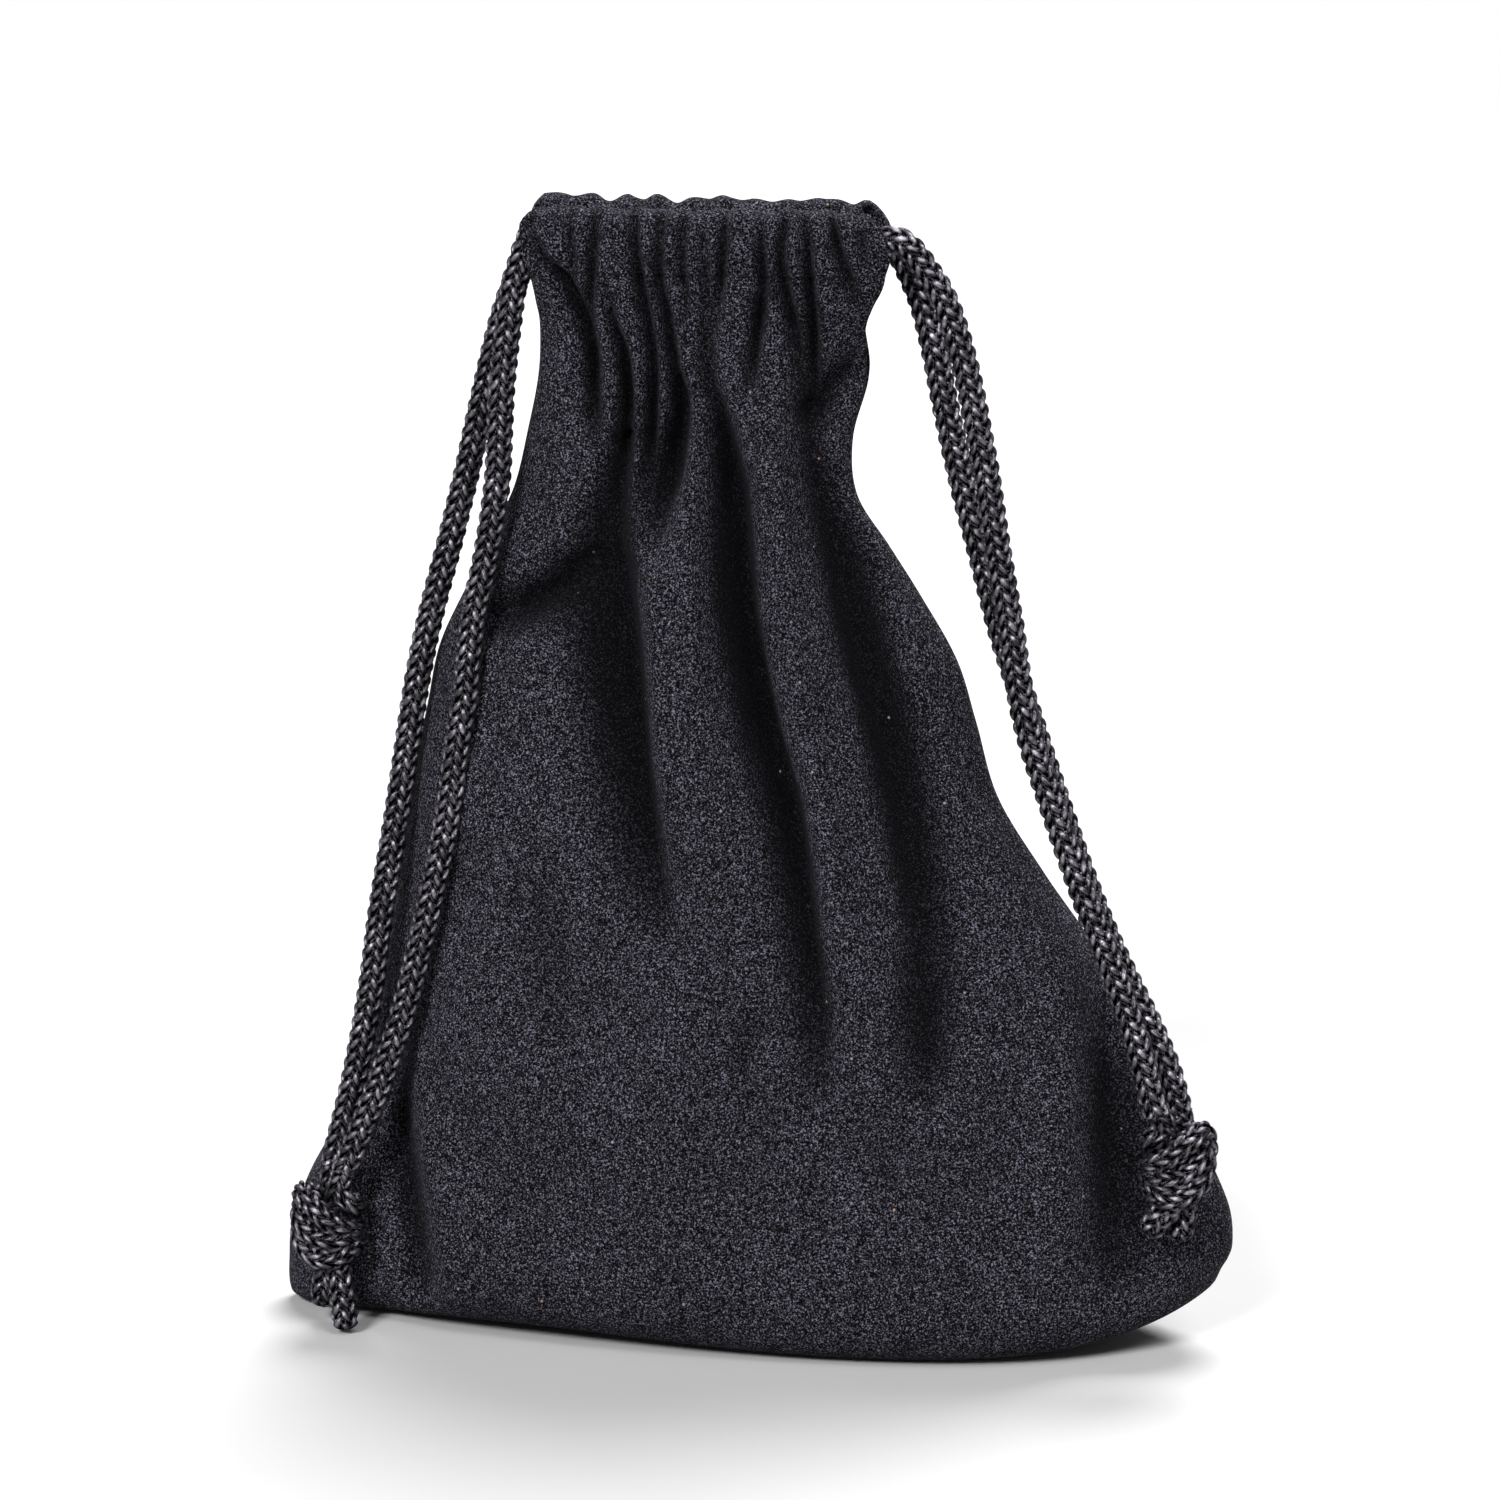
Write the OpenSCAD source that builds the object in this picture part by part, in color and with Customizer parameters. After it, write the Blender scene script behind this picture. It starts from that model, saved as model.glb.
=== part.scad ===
// Drawstring dice bag: a gathered cloth pouch with two braided drawcords.
// +Z is up, the front faces -Y, and the origin is the middle of the base.

/* [Pouch] */
// Overall height of the standing pouch
bag_h = 183.5; // [176:0.5:192]
// Greatest depth of the pouch, front to back
base_depth = 53; // [46:1:58]
// Thickness of the napped cloth
cloth_t = 1.6; // [1.2:0.1:2]
// How far the left bottom corner stands up off the ground
left_ear_rise = 2.5; // [0:0.5:5]
// How far the right bottom corner stands up off the ground
right_ear_rise = 11; // [4:0.5:12]

/* [Casing] */
// Height of the gathered casing
casing_h = 13.5; // [12.5:0.1:14]
// Depth of each casing, front to back
casing_d = 6.4; // [6.2:0.1:7]
// Gap between the two casings, which is the mouth
mouth_gap = 5.6; // [5:0.2:7]
// Number of gathers across each casing
gathers = 12; // [6:1:16]

/* [Cord] */
// Diameter of the braided cord
cord_d = 4; // [3.6:0.1:4]
// Largest diameter of each knot
knot_d = 12; // [10:0.5:13]
// Length of each knot
knot_h = 14; // [11:0.5:15]

/* [Stitching] */
// Length of one stitch
stitch_l = 2.2; // [1.5:0.1:3]
// Diameter of the sewing thread
thread_d = 0.5; // [0.4:0.1:0.7]
// Width of the turned-in seam allowance
allowance_w = 6; // [5:0.5:7]

/* [Hidden] */

CLOTH = [0.10, 0.10, 0.12];
CASING = [0.13, 0.13, 0.15];
THREAD = [0.05, 0.05, 0.06];
CORD = [0.22, 0.21, 0.20];

half_depth = base_depth / 2;
casing_z = bag_h - casing_h;
gap = 0.4;                 // clearance between bodies that move
seam_gap = 0.1;            // each panel stops this far from the seam plane
panel_top = casing_z - gap;
panel_columns = 28;        // steps across each panel

// One row for each level of a panel, from the bottom seam to the casing:
// [height, left edge, right edge, depth as a share of half_depth, how much of the ear rise it takes]
rows = [
    [0, -74, 68, 0, 0.75],
    [0, -75, 70, 0.35, 0.8],
    [0, -75.6, 72, 0.62, 0.85],
    [0.6, -76.2, 73.8, 0.80, 0.9],
    [2.6, -76.6, 75, 0.92, 0.95],
    [6, -76.9, 76, 0.98, 0.8],
    [12, -76.9, 76.9, 1, 0.5],
    [21, -74.6, 76.4, 0.99, 0.2],
    [30, -70, 73, 0.975, 0.05],
    [41, -66.7, 68.2, 0.945, 0],
    [53, -63.7, 60, 0.9, 0],
    [65, -60.9, 53.8, 0.85, 0],
    [76, -59.2, 45.8, 0.79, 0],
    [88, -57.3, 38.6, 0.72, 0],
    [100, -54.9, 35, 0.65, 0],
    [110, -52.7, 31.6, 0.58, 0],
    [120, -48.2, 25.8, 0.51, 0],
    [128, -44.5, 20.4, 0.455, 0],
    [136, -40.8, 15.4, 0.4, 0],
    [145, -38.4, 14.8, 0.37, 0],
    [154, -36.6, 16.9, 0.35, 0],
    [162, -35.9, 17.3, 0.345, 0],
    [panel_top, -36.4, 20.4, 0.345, 0]
];
last_row = len(rows) - 1;

// Folds that fall from the gathers: [x at the top, x at the bottom, low end, high end, depth, width]
folds = [
    [-7, 12, 44, 150, 4, 4],
    [-16, -13, 66, 138, 3, 6],
    [8, 30, 48, 140, 3.2, 4.5]
];
fold_fade = 14;            // each fold deepens and dies away over this height

function clamp01(t) = max(0, min(1, t));
function smooth(t) = let (c = clamp01(t)) c * c * (3 - 2 * c);
function bell(t) = exp(-t * t);
function fold_at(f, x, z) =
    let (t = clamp01((f[3] - z) / (f[3] - f[2])), middle = f[0] + (f[1] - f[0]) * t)
    f[4] * bell((x - middle) / f[5]) * smooth((z - f[2]) / fold_fade) * smooth((f[3] - z) / fold_fade);
function fold_depth(x, z) = fold_at(folds[0], x, z) + fold_at(folds[1], x, z) + fold_at(folds[2], x, z);

// Across: -1 at the left seam, 1 at the right seam. A section is a lens with blunt ends.
crown_flat = 2.3;          // higher is flatter in the middle
crown_blunt = 0.62;        // lower is blunter at the seams
ear_power = 5;             // higher keeps the rise of a corner closer to the corner
floor_rows = 5;            // rows that lie in the rounded bottom
floor_step = 0.22;         // share of the cloth's thickness that each of them gives up

function across(i) = sin(90 * (2 * i / panel_columns - 1));
function crown(s) = pow(1 - pow(abs(s), crown_flat), crown_blunt);

// A point of a panel. inset is 0 on the outer skin and cloth_t on the inner one.
// side is -1 at the front and 1 at the back.
function panel_point(i, r, inset, side) =
    let (
        row = rows[r],
        s = across(i),
        left = row[1] + inset,
        right = row[2] - inset,
        x = (left + right) / 2 + s * (right - left) / 2,
        raised = (s < 0 ? left_ear_rise : right_ear_rise) * row[4] * pow(abs(s), ear_power),
        under = r < floor_rows ? inset * (1 - floor_step * max(0, r - 1)) : 0,
        z = row[0] + raised + under,
        full = max(seam_gap, row[3] * half_depth - (r > 1 ? inset : 0)),
        dent = side < 0 ? fold_depth(x, z) : 0,
        y = max(seam_gap, full * crown(s) - dent)
    )
    [x, side * y, z];

function grid_index(i, r) = r * (panel_columns + 1) + i;
function flip(faces, on) = on ? [for (f = faces) [f[2], f[1], f[0]]] : faces;

// A closed shell of cloth between the outer and the inner skin
module panel(side) {
    n = (panel_columns + 1) * len(rows);
    points = [
        for (inset = [0, cloth_t])
            for (r = [0:last_row])
                for (i = [0:panel_columns])
                    panel_point(i, r, inset, side)
    ];
    outer = [
        for (r = [0:last_row - 1])
            for (i = [0:panel_columns - 1])
                let (a = grid_index(i, r), b = a + 1, c = grid_index(i + 1, r + 1), d = c - 1)
                each [[a, b, c], [a, c, d]]
    ];
    inner = [for (f = outer) [f[2] + n, f[1] + n, f[0] + n]];
    ends = [
        for (i = [0:panel_columns - 1])
            let (a = grid_index(i, 0), b = a + 1, c = grid_index(i, last_row), d = c + 1)
            each [[b, a, a + n], [b, a + n, b + n], [c, d, d + n], [c, d + n, c + n]]
    ];
    sides = [
        for (r = [0:last_row - 1])
            let (a = grid_index(0, r), b = grid_index(0, r + 1))
            let (c = grid_index(panel_columns, r), d = grid_index(panel_columns, r + 1))
            each [[a, b, b + n], [a, b + n, a + n], [d, c, c + n], [d, c + n, d + n]]
    ];
    // Faces run clockwise seen from outside
    polyhedron(points, flip(concat(outer, inner, ends, sides), side < 0), convexity = 8);
}

module front_panel() {
    color(CLOTH) panel(-1);
}

module back_panel() {
    color(CLOTH) panel(1);
}

// Casing: a block with a gathered outer face and a channel for the two cords
casing_left = -36.8;
casing_right = 21;
casing_in = mouth_gap / 2;
casing_out = casing_in + casing_d;
gather_depth = 0.45;
gather_steps = 6 * gathers;
channel_wall = 0.9;
channel_z = casing_z + 2.5;
channel_h = 8.9;
cord_y = casing_in + casing_d / 2;
channel_slack = 0.3;       // room between a cord and the channel
left_cord_z = channel_z + channel_h - cord_d / 2 - channel_slack;
right_cord_z = channel_z + cord_d / 2 + channel_slack;
window_w = 12.5;           // the inner wall is open this far at each end
over = 1;                  // a cut runs past the face it opens by this much

function casing_x(i) = casing_left + (casing_right - casing_left) * i / gather_steps;
function casing_wave(i) = gather_depth * (1 - cos(360 * gathers * i / gather_steps)) / 2;

module casing(side) {
    outline = concat(
        [for (i = [0:gather_steps]) [casing_x(i), side * (casing_out - casing_wave(i))]],
        [[casing_right, side * casing_in], [casing_left, side * casing_in]]
    );
    difference() {
        translate([0, 0, casing_z]) linear_extrude(casing_h) polygon(outline);
        translate([casing_left - over, side * cord_y - casing_d / 2 + channel_wall, channel_z])
            cube([casing_right - casing_left + 2 * over, casing_d - 2 * channel_wall, channel_h]);
        // The inner wall is open at both ends, where a cord turns from one casing to the other
        for (x = [casing_left - over, casing_right + over - window_w])
            translate([x, side * (casing_in + channel_wall / 2) - channel_wall, channel_z])
                cube([window_w, 2 * channel_wall, channel_h]);
    }
}

module front_casing() {
    color(CASING) casing(-1);
}

module back_casing() {
    color(CASING) casing(1);
}

// One row of stitches just above the lower edge of a casing
stitch_pitch = 3.4;
stitch_rise = 0.8;
stitch_margin = 2.5;
stitch_z = casing_z + stitch_rise;

module hem_stitches(side) {
    for (x = [casing_left + stitch_margin:stitch_pitch:casing_right - stitch_l - stitch_margin])
        translate([x, side * (casing_out - gather_depth / 2), stitch_z])
            rotate([0, 90, 0])
                cylinder(h = stitch_l, d = thread_d, $fn = 16);
}

module front_hem_stitches() {
    color(THREAD) hem_stitches(-1);
}

module back_hem_stitches() {
    color(THREAD) hem_stitches(1);
}

// Seam allowances: two edges turned in and lying together, inside the pouch
allowance_t = 1.8;
allowance_low_row = 9;
allowance_high_row = last_row - 3;
allowance_rows = [for (r = [allowance_low_row:allowance_high_row]) r];
allowance_inset = cloth_t + 1.3;

function seam_x(r, right) = right ? rows[r][2] - allowance_inset : rows[r][1] + allowance_inset;

module side_allowance(right) {
    inward = right ? -1 : 1;
    outline = concat(
        [for (r = allowance_rows) [seam_x(r, right), rows[r][0]]],
        [for (k = [0:len(allowance_rows) - 1])
            let (r = allowance_rows[len(allowance_rows) - 1 - k])
            [seam_x(r, right) + inward * allowance_w, rows[r][0]]]
    );
    rotate([90, 0, 0])
        translate([0, 0, -allowance_t / 2])
            linear_extrude(allowance_t) polygon(outline);
}

module left_seam_allowance() {
    color(CLOTH) side_allowance(false);
}

module right_seam_allowance() {
    color(CLOTH) side_allowance(true);
}

// The bottom seam is held inside for this length. It stays clear of the raised right corner.
bottom_seam_from = -58;
bottom_seam_l = 94;
bottom_allowance_gap = 0.8;
bottom_allowance_z = cloth_t + bottom_allowance_gap;

module bottom_seam_allowance() {
    color(CLOTH)
        translate([bottom_seam_from, -allowance_t / 2, bottom_allowance_z])
            cube([bottom_seam_l, allowance_t, allowance_w]);
}

// Seam threads: a line of stitching along the middle of each allowance
thread_inset = 2;
thread_sides = 6;

// A plain tube swept along a route: route is a list of points, d its diameter, sides its facets
function unit(v) = v / norm(v);
function tangent(p, i) = unit(p[min(i + 1, len(p) - 1)] - p[max(i - 1, 0)]);
function ring(p, i, d, sides, up) =
    let (t = tangent(p, i), a = unit(cross(t, up)), b = cross(a, t))
    [for (k = [0:sides - 1]) p[i] + d / 2 * (cos(360 * k / sides) * a + sin(360 * k / sides) * b)];

module tube(p, d, sides, up) {
    n = len(p);
    points = [for (i = [0:n - 1]) each ring(p, i, d, sides, up)];
    walls = [
        for (i = [0:n - 2])
            for (k = [0:sides - 1])
                let (a = i * sides + k, b = i * sides + (k + 1) % sides)
                each [[a, b, b + sides], [a, b + sides, a + sides]]
    ];
    caps = [
        for (k = [1:sides - 2])
            each [[0, k + 1, k], [(n - 1) * sides, (n - 1) * sides + k, (n - 1) * sides + k + 1]]
    ];
    polyhedron(points, flip(concat(walls, caps), true), convexity = 4);
}

function side_thread_route(right) = [
    for (r = allowance_rows) [seam_x(r, right) + (right ? -1 : 1) * thread_inset, 0, rows[r][0]]
];

module left_seam_thread() {
    color(THREAD) tube(side_thread_route(false), thread_d, thread_sides, [0, 1, 0]);
}

module right_seam_thread() {
    color(THREAD) tube(side_thread_route(true), thread_d, thread_sides, [0, 1, 0]);
}

module bottom_seam_thread() {
    color(THREAD)
        translate([bottom_seam_from, 0, bottom_allowance_z + thread_inset])
            rotate([0, 90, 0])
                cylinder(h = bottom_seam_l, d = thread_d, $fn = 16);
}

// Cord routes, from where each strand leaves the casing down to its knot
left_front_route = [
    [-37.4, -6, 179], [-38.6, -6, 176], [-39.4, -6.2, 172], [-40.2, -6.5, 167],
    [-40.8, -7, 160.6], [-41.2, -7.4, 151], [-41.4, -8, 137], [-43, -8.8, 126],
    [-45, -10, 115.6], [-45.8, -12, 104], [-47, -12.8, 96], [-48.6, -13.8, 83.6],
    [-51.2, -14.8, 70.8], [-54, -16.2, 58], [-57, -17.8, 47], [-60.6, -20, 36.4],
    [-64.4, -21.8, 26.6]
];
left_back_route = [
    [-37.4, 6, 179], [-39.4, 5.4, 176.4], [-41.4, 4.4, 171], [-43.4, 3, 163.4],
    [-46.2, 1.5, 152], [-48.4, 0.3, 141.6], [-50.4, -1, 131.4], [-52.4, -2.2, 122],
    [-54.4, -3.6, 112], [-56, -5, 102.6], [-57.4, -6.6, 91.6], [-58.8, -8.4, 80.6],
    [-60.6, -10.4, 68], [-62, -12.4, 55], [-64.2, -15, 41], [-67.4, -17.6, 26.6]
];
right_front_route = [
    [22.4, -6, 178], [24.4, -6.2, 178.8], [26.6, -6.4, 177.2], [28.8, -6.6, 174.2],
    [31, -6.8, 170.2], [33, -7, 165.6], [35.4, -7.4, 158], [38, -8, 148],
    [40.6, -8.8, 136.6], [42.8, -9.8, 124.4], [44.8, -10.8, 114], [47.4, -11.6, 103],
    [51.4, -12.8, 88.4], [55.4, -14, 76.6], [59, -15.4, 66.6], [63.4, -17.4, 56],
    [68, -20.2, 42]
];
right_back_route = [
    [22.4, 6, 174.8], [24, 5.4, 173], [25.4, 4.6, 168.6], [26.6, 4, 163.6],
    [28, 3, 157.6], [30, 1.6, 149], [33, 0, 139.2], [36.4, -1.8, 128.4],
    [39.4, -3.6, 118], [42, -5, 109.8], [45.2, -6.4, 101.6], [48.4, -7.4, 93.6],
    [53, -9, 81.4], [57.4, -10.4, 70], [62, -12, 60.8], [67.4, -14, 51],
    [71.2, -15.8, 42]
];
cord_sides = 8;

module strand(route) {
    tube(route, cord_d, cord_sides, [0, 1, 0]);
}

module left_front_strand() {
    color(CORD) strand(left_front_route);
}

module left_back_strand() {
    color(CORD) strand(left_back_route);
}

module right_front_strand() {
    color(CORD) strand(right_front_route);
}

module right_back_strand() {
    color(CORD) strand(right_back_route);
}

// Knots: a barrel with a waist, standing for the turns of an overhand knot
left_knot_at = [-66.4, -20, 18.2];
right_knot_at = [70.4, -18, 33.6];
knot_waist = 0.12;         // the waist is narrower by this share
knot_waist_pinch = 9;      // higher makes the waist shorter
knot_steps = 14;

function knot_radius(t) =
    knot_d / 2 * sqrt(1 - pow(abs(2 * t - 1), 3)) * (1 - knot_waist * bell((t - 0.5) * knot_waist_pinch));

module knot(at) {
    outline = concat(
        [[0, -knot_h / 2]],
        [for (i = [1:knot_steps - 1]) [knot_radius(i / knot_steps), knot_h * (i / knot_steps - 0.5)]],
        [[0, knot_h / 2]]
    );
    translate(at) rotate_extrude($fn = 40) polygon(outline);
}

module left_knot() {
    color(CORD) knot(left_knot_at);
}

module right_knot() {
    color(CORD) knot(right_knot_at);
}

// Tails: the short ends that hang out of each knot
tail_bow = 0.3;

module tail(from, to) {
    tube([from, (from + to) / 2 + [tail_bow, 0, 0], to], cord_d, cord_sides, [0, 1, 0]);
}

module left_front_tail() {
    color(CORD) tail([-65.4, -22, 10.8], [-63.8, -22.8, 2.4]);
}

module left_back_tail() {
    color(CORD) tail([-67.2, -18, 10.8], [-67.4, -18.2, 4]);
}

module right_front_tail() {
    color(CORD) tail([69.2, -20, 26.2], [67.2, -21.2, 21.2]);
}

module right_back_tail() {
    color(CORD) tail([71.2, -16.2, 26.2], [71.8, -17, 20]);
}

// Runs: the two cords inside each casing. Those of the right cord rise towards its exit at the front.
turn_inset = 8.2;          // a run ends this far from the casing's end, where its far turn begins
left_turn_inset = 12.2;    // the left cord turns back sooner, to leave room for the right cord's exit
exit_inset = 1.8;
run_rise = [[8.6, 0], [5.8, 0.4], [3, 1.6], [0.4, 2.6]]; // [distance from the end, how far it has risen]

module straight_run(from, to, side, z) {
    translate([from, side * cord_y, z])
        rotate([0, 90, 0])
            cylinder(h = to - from, d = cord_d, $fn = 32);
}

module left_front_run() {
    color(CORD) straight_run(casing_left + exit_inset, casing_right - left_turn_inset, -1, left_cord_z);
}

module left_back_run() {
    color(CORD) straight_run(casing_left + exit_inset, casing_right - left_turn_inset, 1, left_cord_z);
}

module right_front_run() {
    start = [[casing_left + turn_inset, -cord_y, right_cord_z]];
    end = [for (r = run_rise) [casing_right - r[0], -cord_y, right_cord_z + r[1]]];
    color(CORD) tube(concat(start, end), cord_d, cord_sides, [0, 1, 0]);
}

module right_back_run() {
    color(CORD) straight_run(casing_left + turn_inset, casing_right - gap, 1, right_cord_z);
}

// Far turns: a half ring that carries each cord from the front casing to the back one
module far_turn(x, z, turn) {
    translate([x, 0, z])
        rotate([0, 0, turn])
            rotate_extrude(angle = 180, $fn = 48)
                translate([cord_y, 0]) circle(d = cord_d, $fn = 24);
}

module left_far_turn() {
    color(CORD) far_turn(casing_right - left_turn_inset + gap, left_cord_z, -90);
}

module right_far_turn() {
    color(CORD) far_turn(casing_left + turn_inset - gap, right_cord_z, 90);
}

front_panel();
back_panel();
front_casing();
back_casing();
left_seam_allowance();
right_seam_allowance();
bottom_seam_allowance();
left_seam_thread();
right_seam_thread();
bottom_seam_thread();
front_hem_stitches();
back_hem_stitches();
left_front_strand();
left_back_strand();
left_knot();
left_front_tail();
left_back_tail();
left_front_run();
left_back_run();
left_far_turn();
right_front_strand();
right_back_strand();
right_knot();
right_front_tail();
right_back_tail();
right_front_run();
right_back_run();
right_far_turn();
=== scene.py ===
import math

import bpy
import numpy as np
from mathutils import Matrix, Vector


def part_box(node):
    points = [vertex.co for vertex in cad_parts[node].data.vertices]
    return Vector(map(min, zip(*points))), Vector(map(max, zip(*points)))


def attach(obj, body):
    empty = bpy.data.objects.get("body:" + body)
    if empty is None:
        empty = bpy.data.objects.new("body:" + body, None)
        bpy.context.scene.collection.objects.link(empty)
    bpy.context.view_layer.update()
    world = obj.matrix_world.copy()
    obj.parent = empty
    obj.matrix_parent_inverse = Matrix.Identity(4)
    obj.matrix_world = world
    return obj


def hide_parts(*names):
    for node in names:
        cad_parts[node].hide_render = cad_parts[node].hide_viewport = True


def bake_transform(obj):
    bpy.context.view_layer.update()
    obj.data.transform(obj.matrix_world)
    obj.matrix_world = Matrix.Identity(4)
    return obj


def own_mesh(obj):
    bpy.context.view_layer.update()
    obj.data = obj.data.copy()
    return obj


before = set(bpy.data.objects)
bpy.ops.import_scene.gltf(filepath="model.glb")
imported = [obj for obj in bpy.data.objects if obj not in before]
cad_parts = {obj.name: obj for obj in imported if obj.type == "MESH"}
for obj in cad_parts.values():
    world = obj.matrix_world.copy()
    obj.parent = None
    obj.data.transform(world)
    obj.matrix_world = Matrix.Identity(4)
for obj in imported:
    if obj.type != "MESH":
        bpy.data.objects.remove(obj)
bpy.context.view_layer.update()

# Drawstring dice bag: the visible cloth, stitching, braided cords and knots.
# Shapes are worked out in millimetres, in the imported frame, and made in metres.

MM = 0.001


# ---------------- camera and light

VIEW_AZIMUTH = math.radians(12)
VIEW_ELEVATION = math.radians(11)
VIEW_DISTANCE = 0.8
LENS = 120
AIM = Vector((-0.0021, 0.0, 0.0943))


def away_from_aim(azimuth, elevation, distance):
    """A point seen from the aim in that direction, where azimuth 0 is the front."""
    flat = math.cos(elevation)
    direction = Vector((math.sin(azimuth) * flat, -math.cos(azimuth) * flat, math.sin(elevation)))
    return AIM + direction * distance


def turn_towards_aim(obj):
    obj.rotation_euler = (AIM - obj.location).to_track_quat("-Z", "Y").to_euler()


def make_camera():
    data = bpy.data.cameras.new("camera")
    data.lens = LENS
    data.clip_start = 0.01
    camera = bpy.data.objects.new("camera", data)
    bpy.context.scene.collection.objects.link(camera)
    camera.location = away_from_aim(VIEW_AZIMUTH, VIEW_ELEVATION, VIEW_DISTANCE)
    turn_towards_aim(camera)
    bpy.context.scene.camera = camera


# The share of the white surroundings' light that reaches the object
AMBIENT = 0.3
# Each sun: azimuth and elevation in degrees, strength, and how wide it looks in degrees
SUNS = {
    "key": (-12, 34, 5.0, 16),
    "right_fill": (44, 50, 1.8, 24),
    "top_back": (172, 60, 7.4, 36)
}


def make_sun(name, azimuth, elevation, strength, softness):
    """A distant soft light that shines towards the aim."""
    data = bpy.data.lights.new(name, "SUN")
    data.energy = strength
    data.angle = math.radians(softness)
    light = bpy.data.objects.new(name, data)
    bpy.context.scene.collection.objects.link(light)
    light.location = away_from_aim(math.radians(azimuth), math.radians(elevation), 1.0)
    turn_towards_aim(light)


def make_lights():
    world = bpy.data.worlds.new("studio")
    bpy.context.scene.world = world
    world.use_nodes = True
    tree = world.node_tree
    background = tree.nodes["Background"]
    background.inputs["Color"].default_value = (1.0, 1.0, 1.0, 1.0)
    # Plain white where the camera sees it, and dimmer in the light that it gives
    ray = tree.nodes.new("ShaderNodeLightPath")
    strength = tree.nodes.new("ShaderNodeMapRange")
    strength.inputs["To Min"].default_value = AMBIENT
    strength.inputs["To Max"].default_value = 1.0
    tree.links.new(ray.outputs["Is Camera Ray"], strength.inputs["Value"])
    tree.links.new(strength.outputs["Result"], background.inputs["Strength"])
    for name, settings in SUNS.items():
        make_sun(name, *settings)


# ---------------- node materials


class Shader:
    """A short way to lay out one material's nodes."""

    def __init__(self, name):
        self.material = bpy.data.materials.new(name)
        self.material.use_nodes = True
        self.tree = self.material.node_tree
        self.surface = self.tree.nodes["Principled BSDF"]

    def node(self, kind, inputs=(), **settings):
        made = self.tree.nodes.new(kind)
        for key, value in settings.items():
            setattr(made, key, value)
        for key, value in dict(inputs).items():
            self.put(made.inputs[key], value)
        return made

    def put(self, socket, value):
        if isinstance(value, bpy.types.NodeSocket):
            self.tree.links.new(value, socket)
        else:
            socket.default_value = value

    def set(self, **inputs):
        for key, value in inputs.items():
            self.put(self.surface.inputs[key.replace("_", " ")], value)

    def place(self):
        """Object coordinates, in metres."""
        return self.node("ShaderNodeTexCoord").outputs["Object"]

    def attribute(self, name, output):
        return self.node("ShaderNodeAttribute", attribute_name=name).outputs[output]

    def noise(self, where, scale, detail, roughness):
        inputs = {"Vector": where, "Scale": scale, "Detail": detail, "Roughness": roughness}
        return self.node("ShaderNodeTexNoise", inputs).outputs["Fac"]

    def spread(self, value, low, high, to_low=0.0, to_high=1.0):
        """value from low to high, taken to the range from to_low to to_high and held there."""
        inputs = {"Value": value, "From Min": low, "From Max": high, "To Min": to_low, "To Max": to_high}
        return self.node("ShaderNodeMapRange", inputs).outputs["Result"]

    def mix(self, share, a, b):
        """Colour a where share is 0, and colour b where it is 1."""
        made = self.node("ShaderNodeMix", data_type="RGBA")
        self.put(made.inputs[0], share)
        self.put(made.inputs[6], a)
        self.put(made.inputs[7], b)
        return made.outputs[2]

    def math(self, operation, a, b):
        return self.node("ShaderNodeMath", {0: a, 1: b}, operation=operation).outputs[0]

    def bump(self, height, strength, distance, normal=None):
        inputs = {"Height": height, "Strength": strength, "Distance": distance}
        if normal is not None:
            inputs["Normal"] = normal
        return self.node("ShaderNodeBump", inputs).outputs["Normal"]


def grey(value, blue=1.0):
    return (value, value, value * blue, 1.0)


def tint(value):
    """The bluish black of the cloth."""
    return (value * 1.02, value * 0.98, value * 1.26, 1.0)


# Detail of the cloth, in waves or cells to the metre
GRAIN_SCALE = 3300.0
CLUMP_SCALE = 1700.0
WEAR_SCALE = 38.0
LINT_SCALE = 420.0


def velveteen(name):
    """Black napped cloth: short fibres that clump in grains, with painted shade in its creases and specks of
    lint.
    """
    s = Shader(name)
    where = s.place()
    grain = s.noise(where, GRAIN_SCALE, 2.0, 0.8)
    clump = s.noise(where, CLUMP_SCALE, 2.0, 0.6)
    wear = s.noise(where, WEAR_SCALE, 3.0, 0.55)
    shade = tint(0.0008)
    lit = s.mix(s.spread(wear, 0.3, 0.7), tint(0.103), tint(0.129))
    fibres = s.math("ADD", s.math("MULTIPLY", grain, 0.8), s.math("MULTIPLY", clump, 0.2))
    fibres = s.math("POWER", s.spread(fibres, 0.43, 0.63), 3.1)
    colour = s.mix(fibres, shade, lit)
    # Painted shade: the creases of the folds and pleats are painted towards near black
    colour = s.mix(s.spread(s.attribute("crease_shade", "Fac"), 0.0, 0.9, 0.0, 0.9), colour, shade)
    specks, lint = lint_specks(s, where)
    colour = s.mix(specks, colour, lint)
    normal = s.bump(clump, 0.5, 0.0003)
    normal = s.bump(grain, 0.9, 0.00025, normal)
    s.set(Base_Color=colour, Roughness=0.95, Specular_IOR_Level=0.03, Normal=normal)
    s.set(Sheen_Weight=0.01, Sheen_Roughness=0.5, Sheen_Tint=(0.80, 0.86, 1.0, 1.0))
    return s.material


def lint_specks(s, where):
    """Where the specks of lint lie, in a few cells out of a hundred, and their colour, pale or brown."""
    cells = s.node("ShaderNodeTexVoronoi", {"Vector": where, "Scale": LINT_SCALE, "Randomness": 1.0})
    size = s.spread(cells.outputs["Distance"], 0.05, 0.12, 1.0, 0.0)
    draw = s.node("ShaderNodeSeparateColor", {"Color": cells.outputs["Color"]}).outputs
    specks = s.math("MULTIPLY", size, s.spread(draw["Red"], 0.91, 0.94, 0.0, 0.8))
    pale, brown = (0.20, 0.21, 0.24, 1.0), (0.30, 0.19, 0.13, 1.0)
    return specks, s.mix(s.spread(draw["Green"], 0.6, 0.8), pale, brown)


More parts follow.
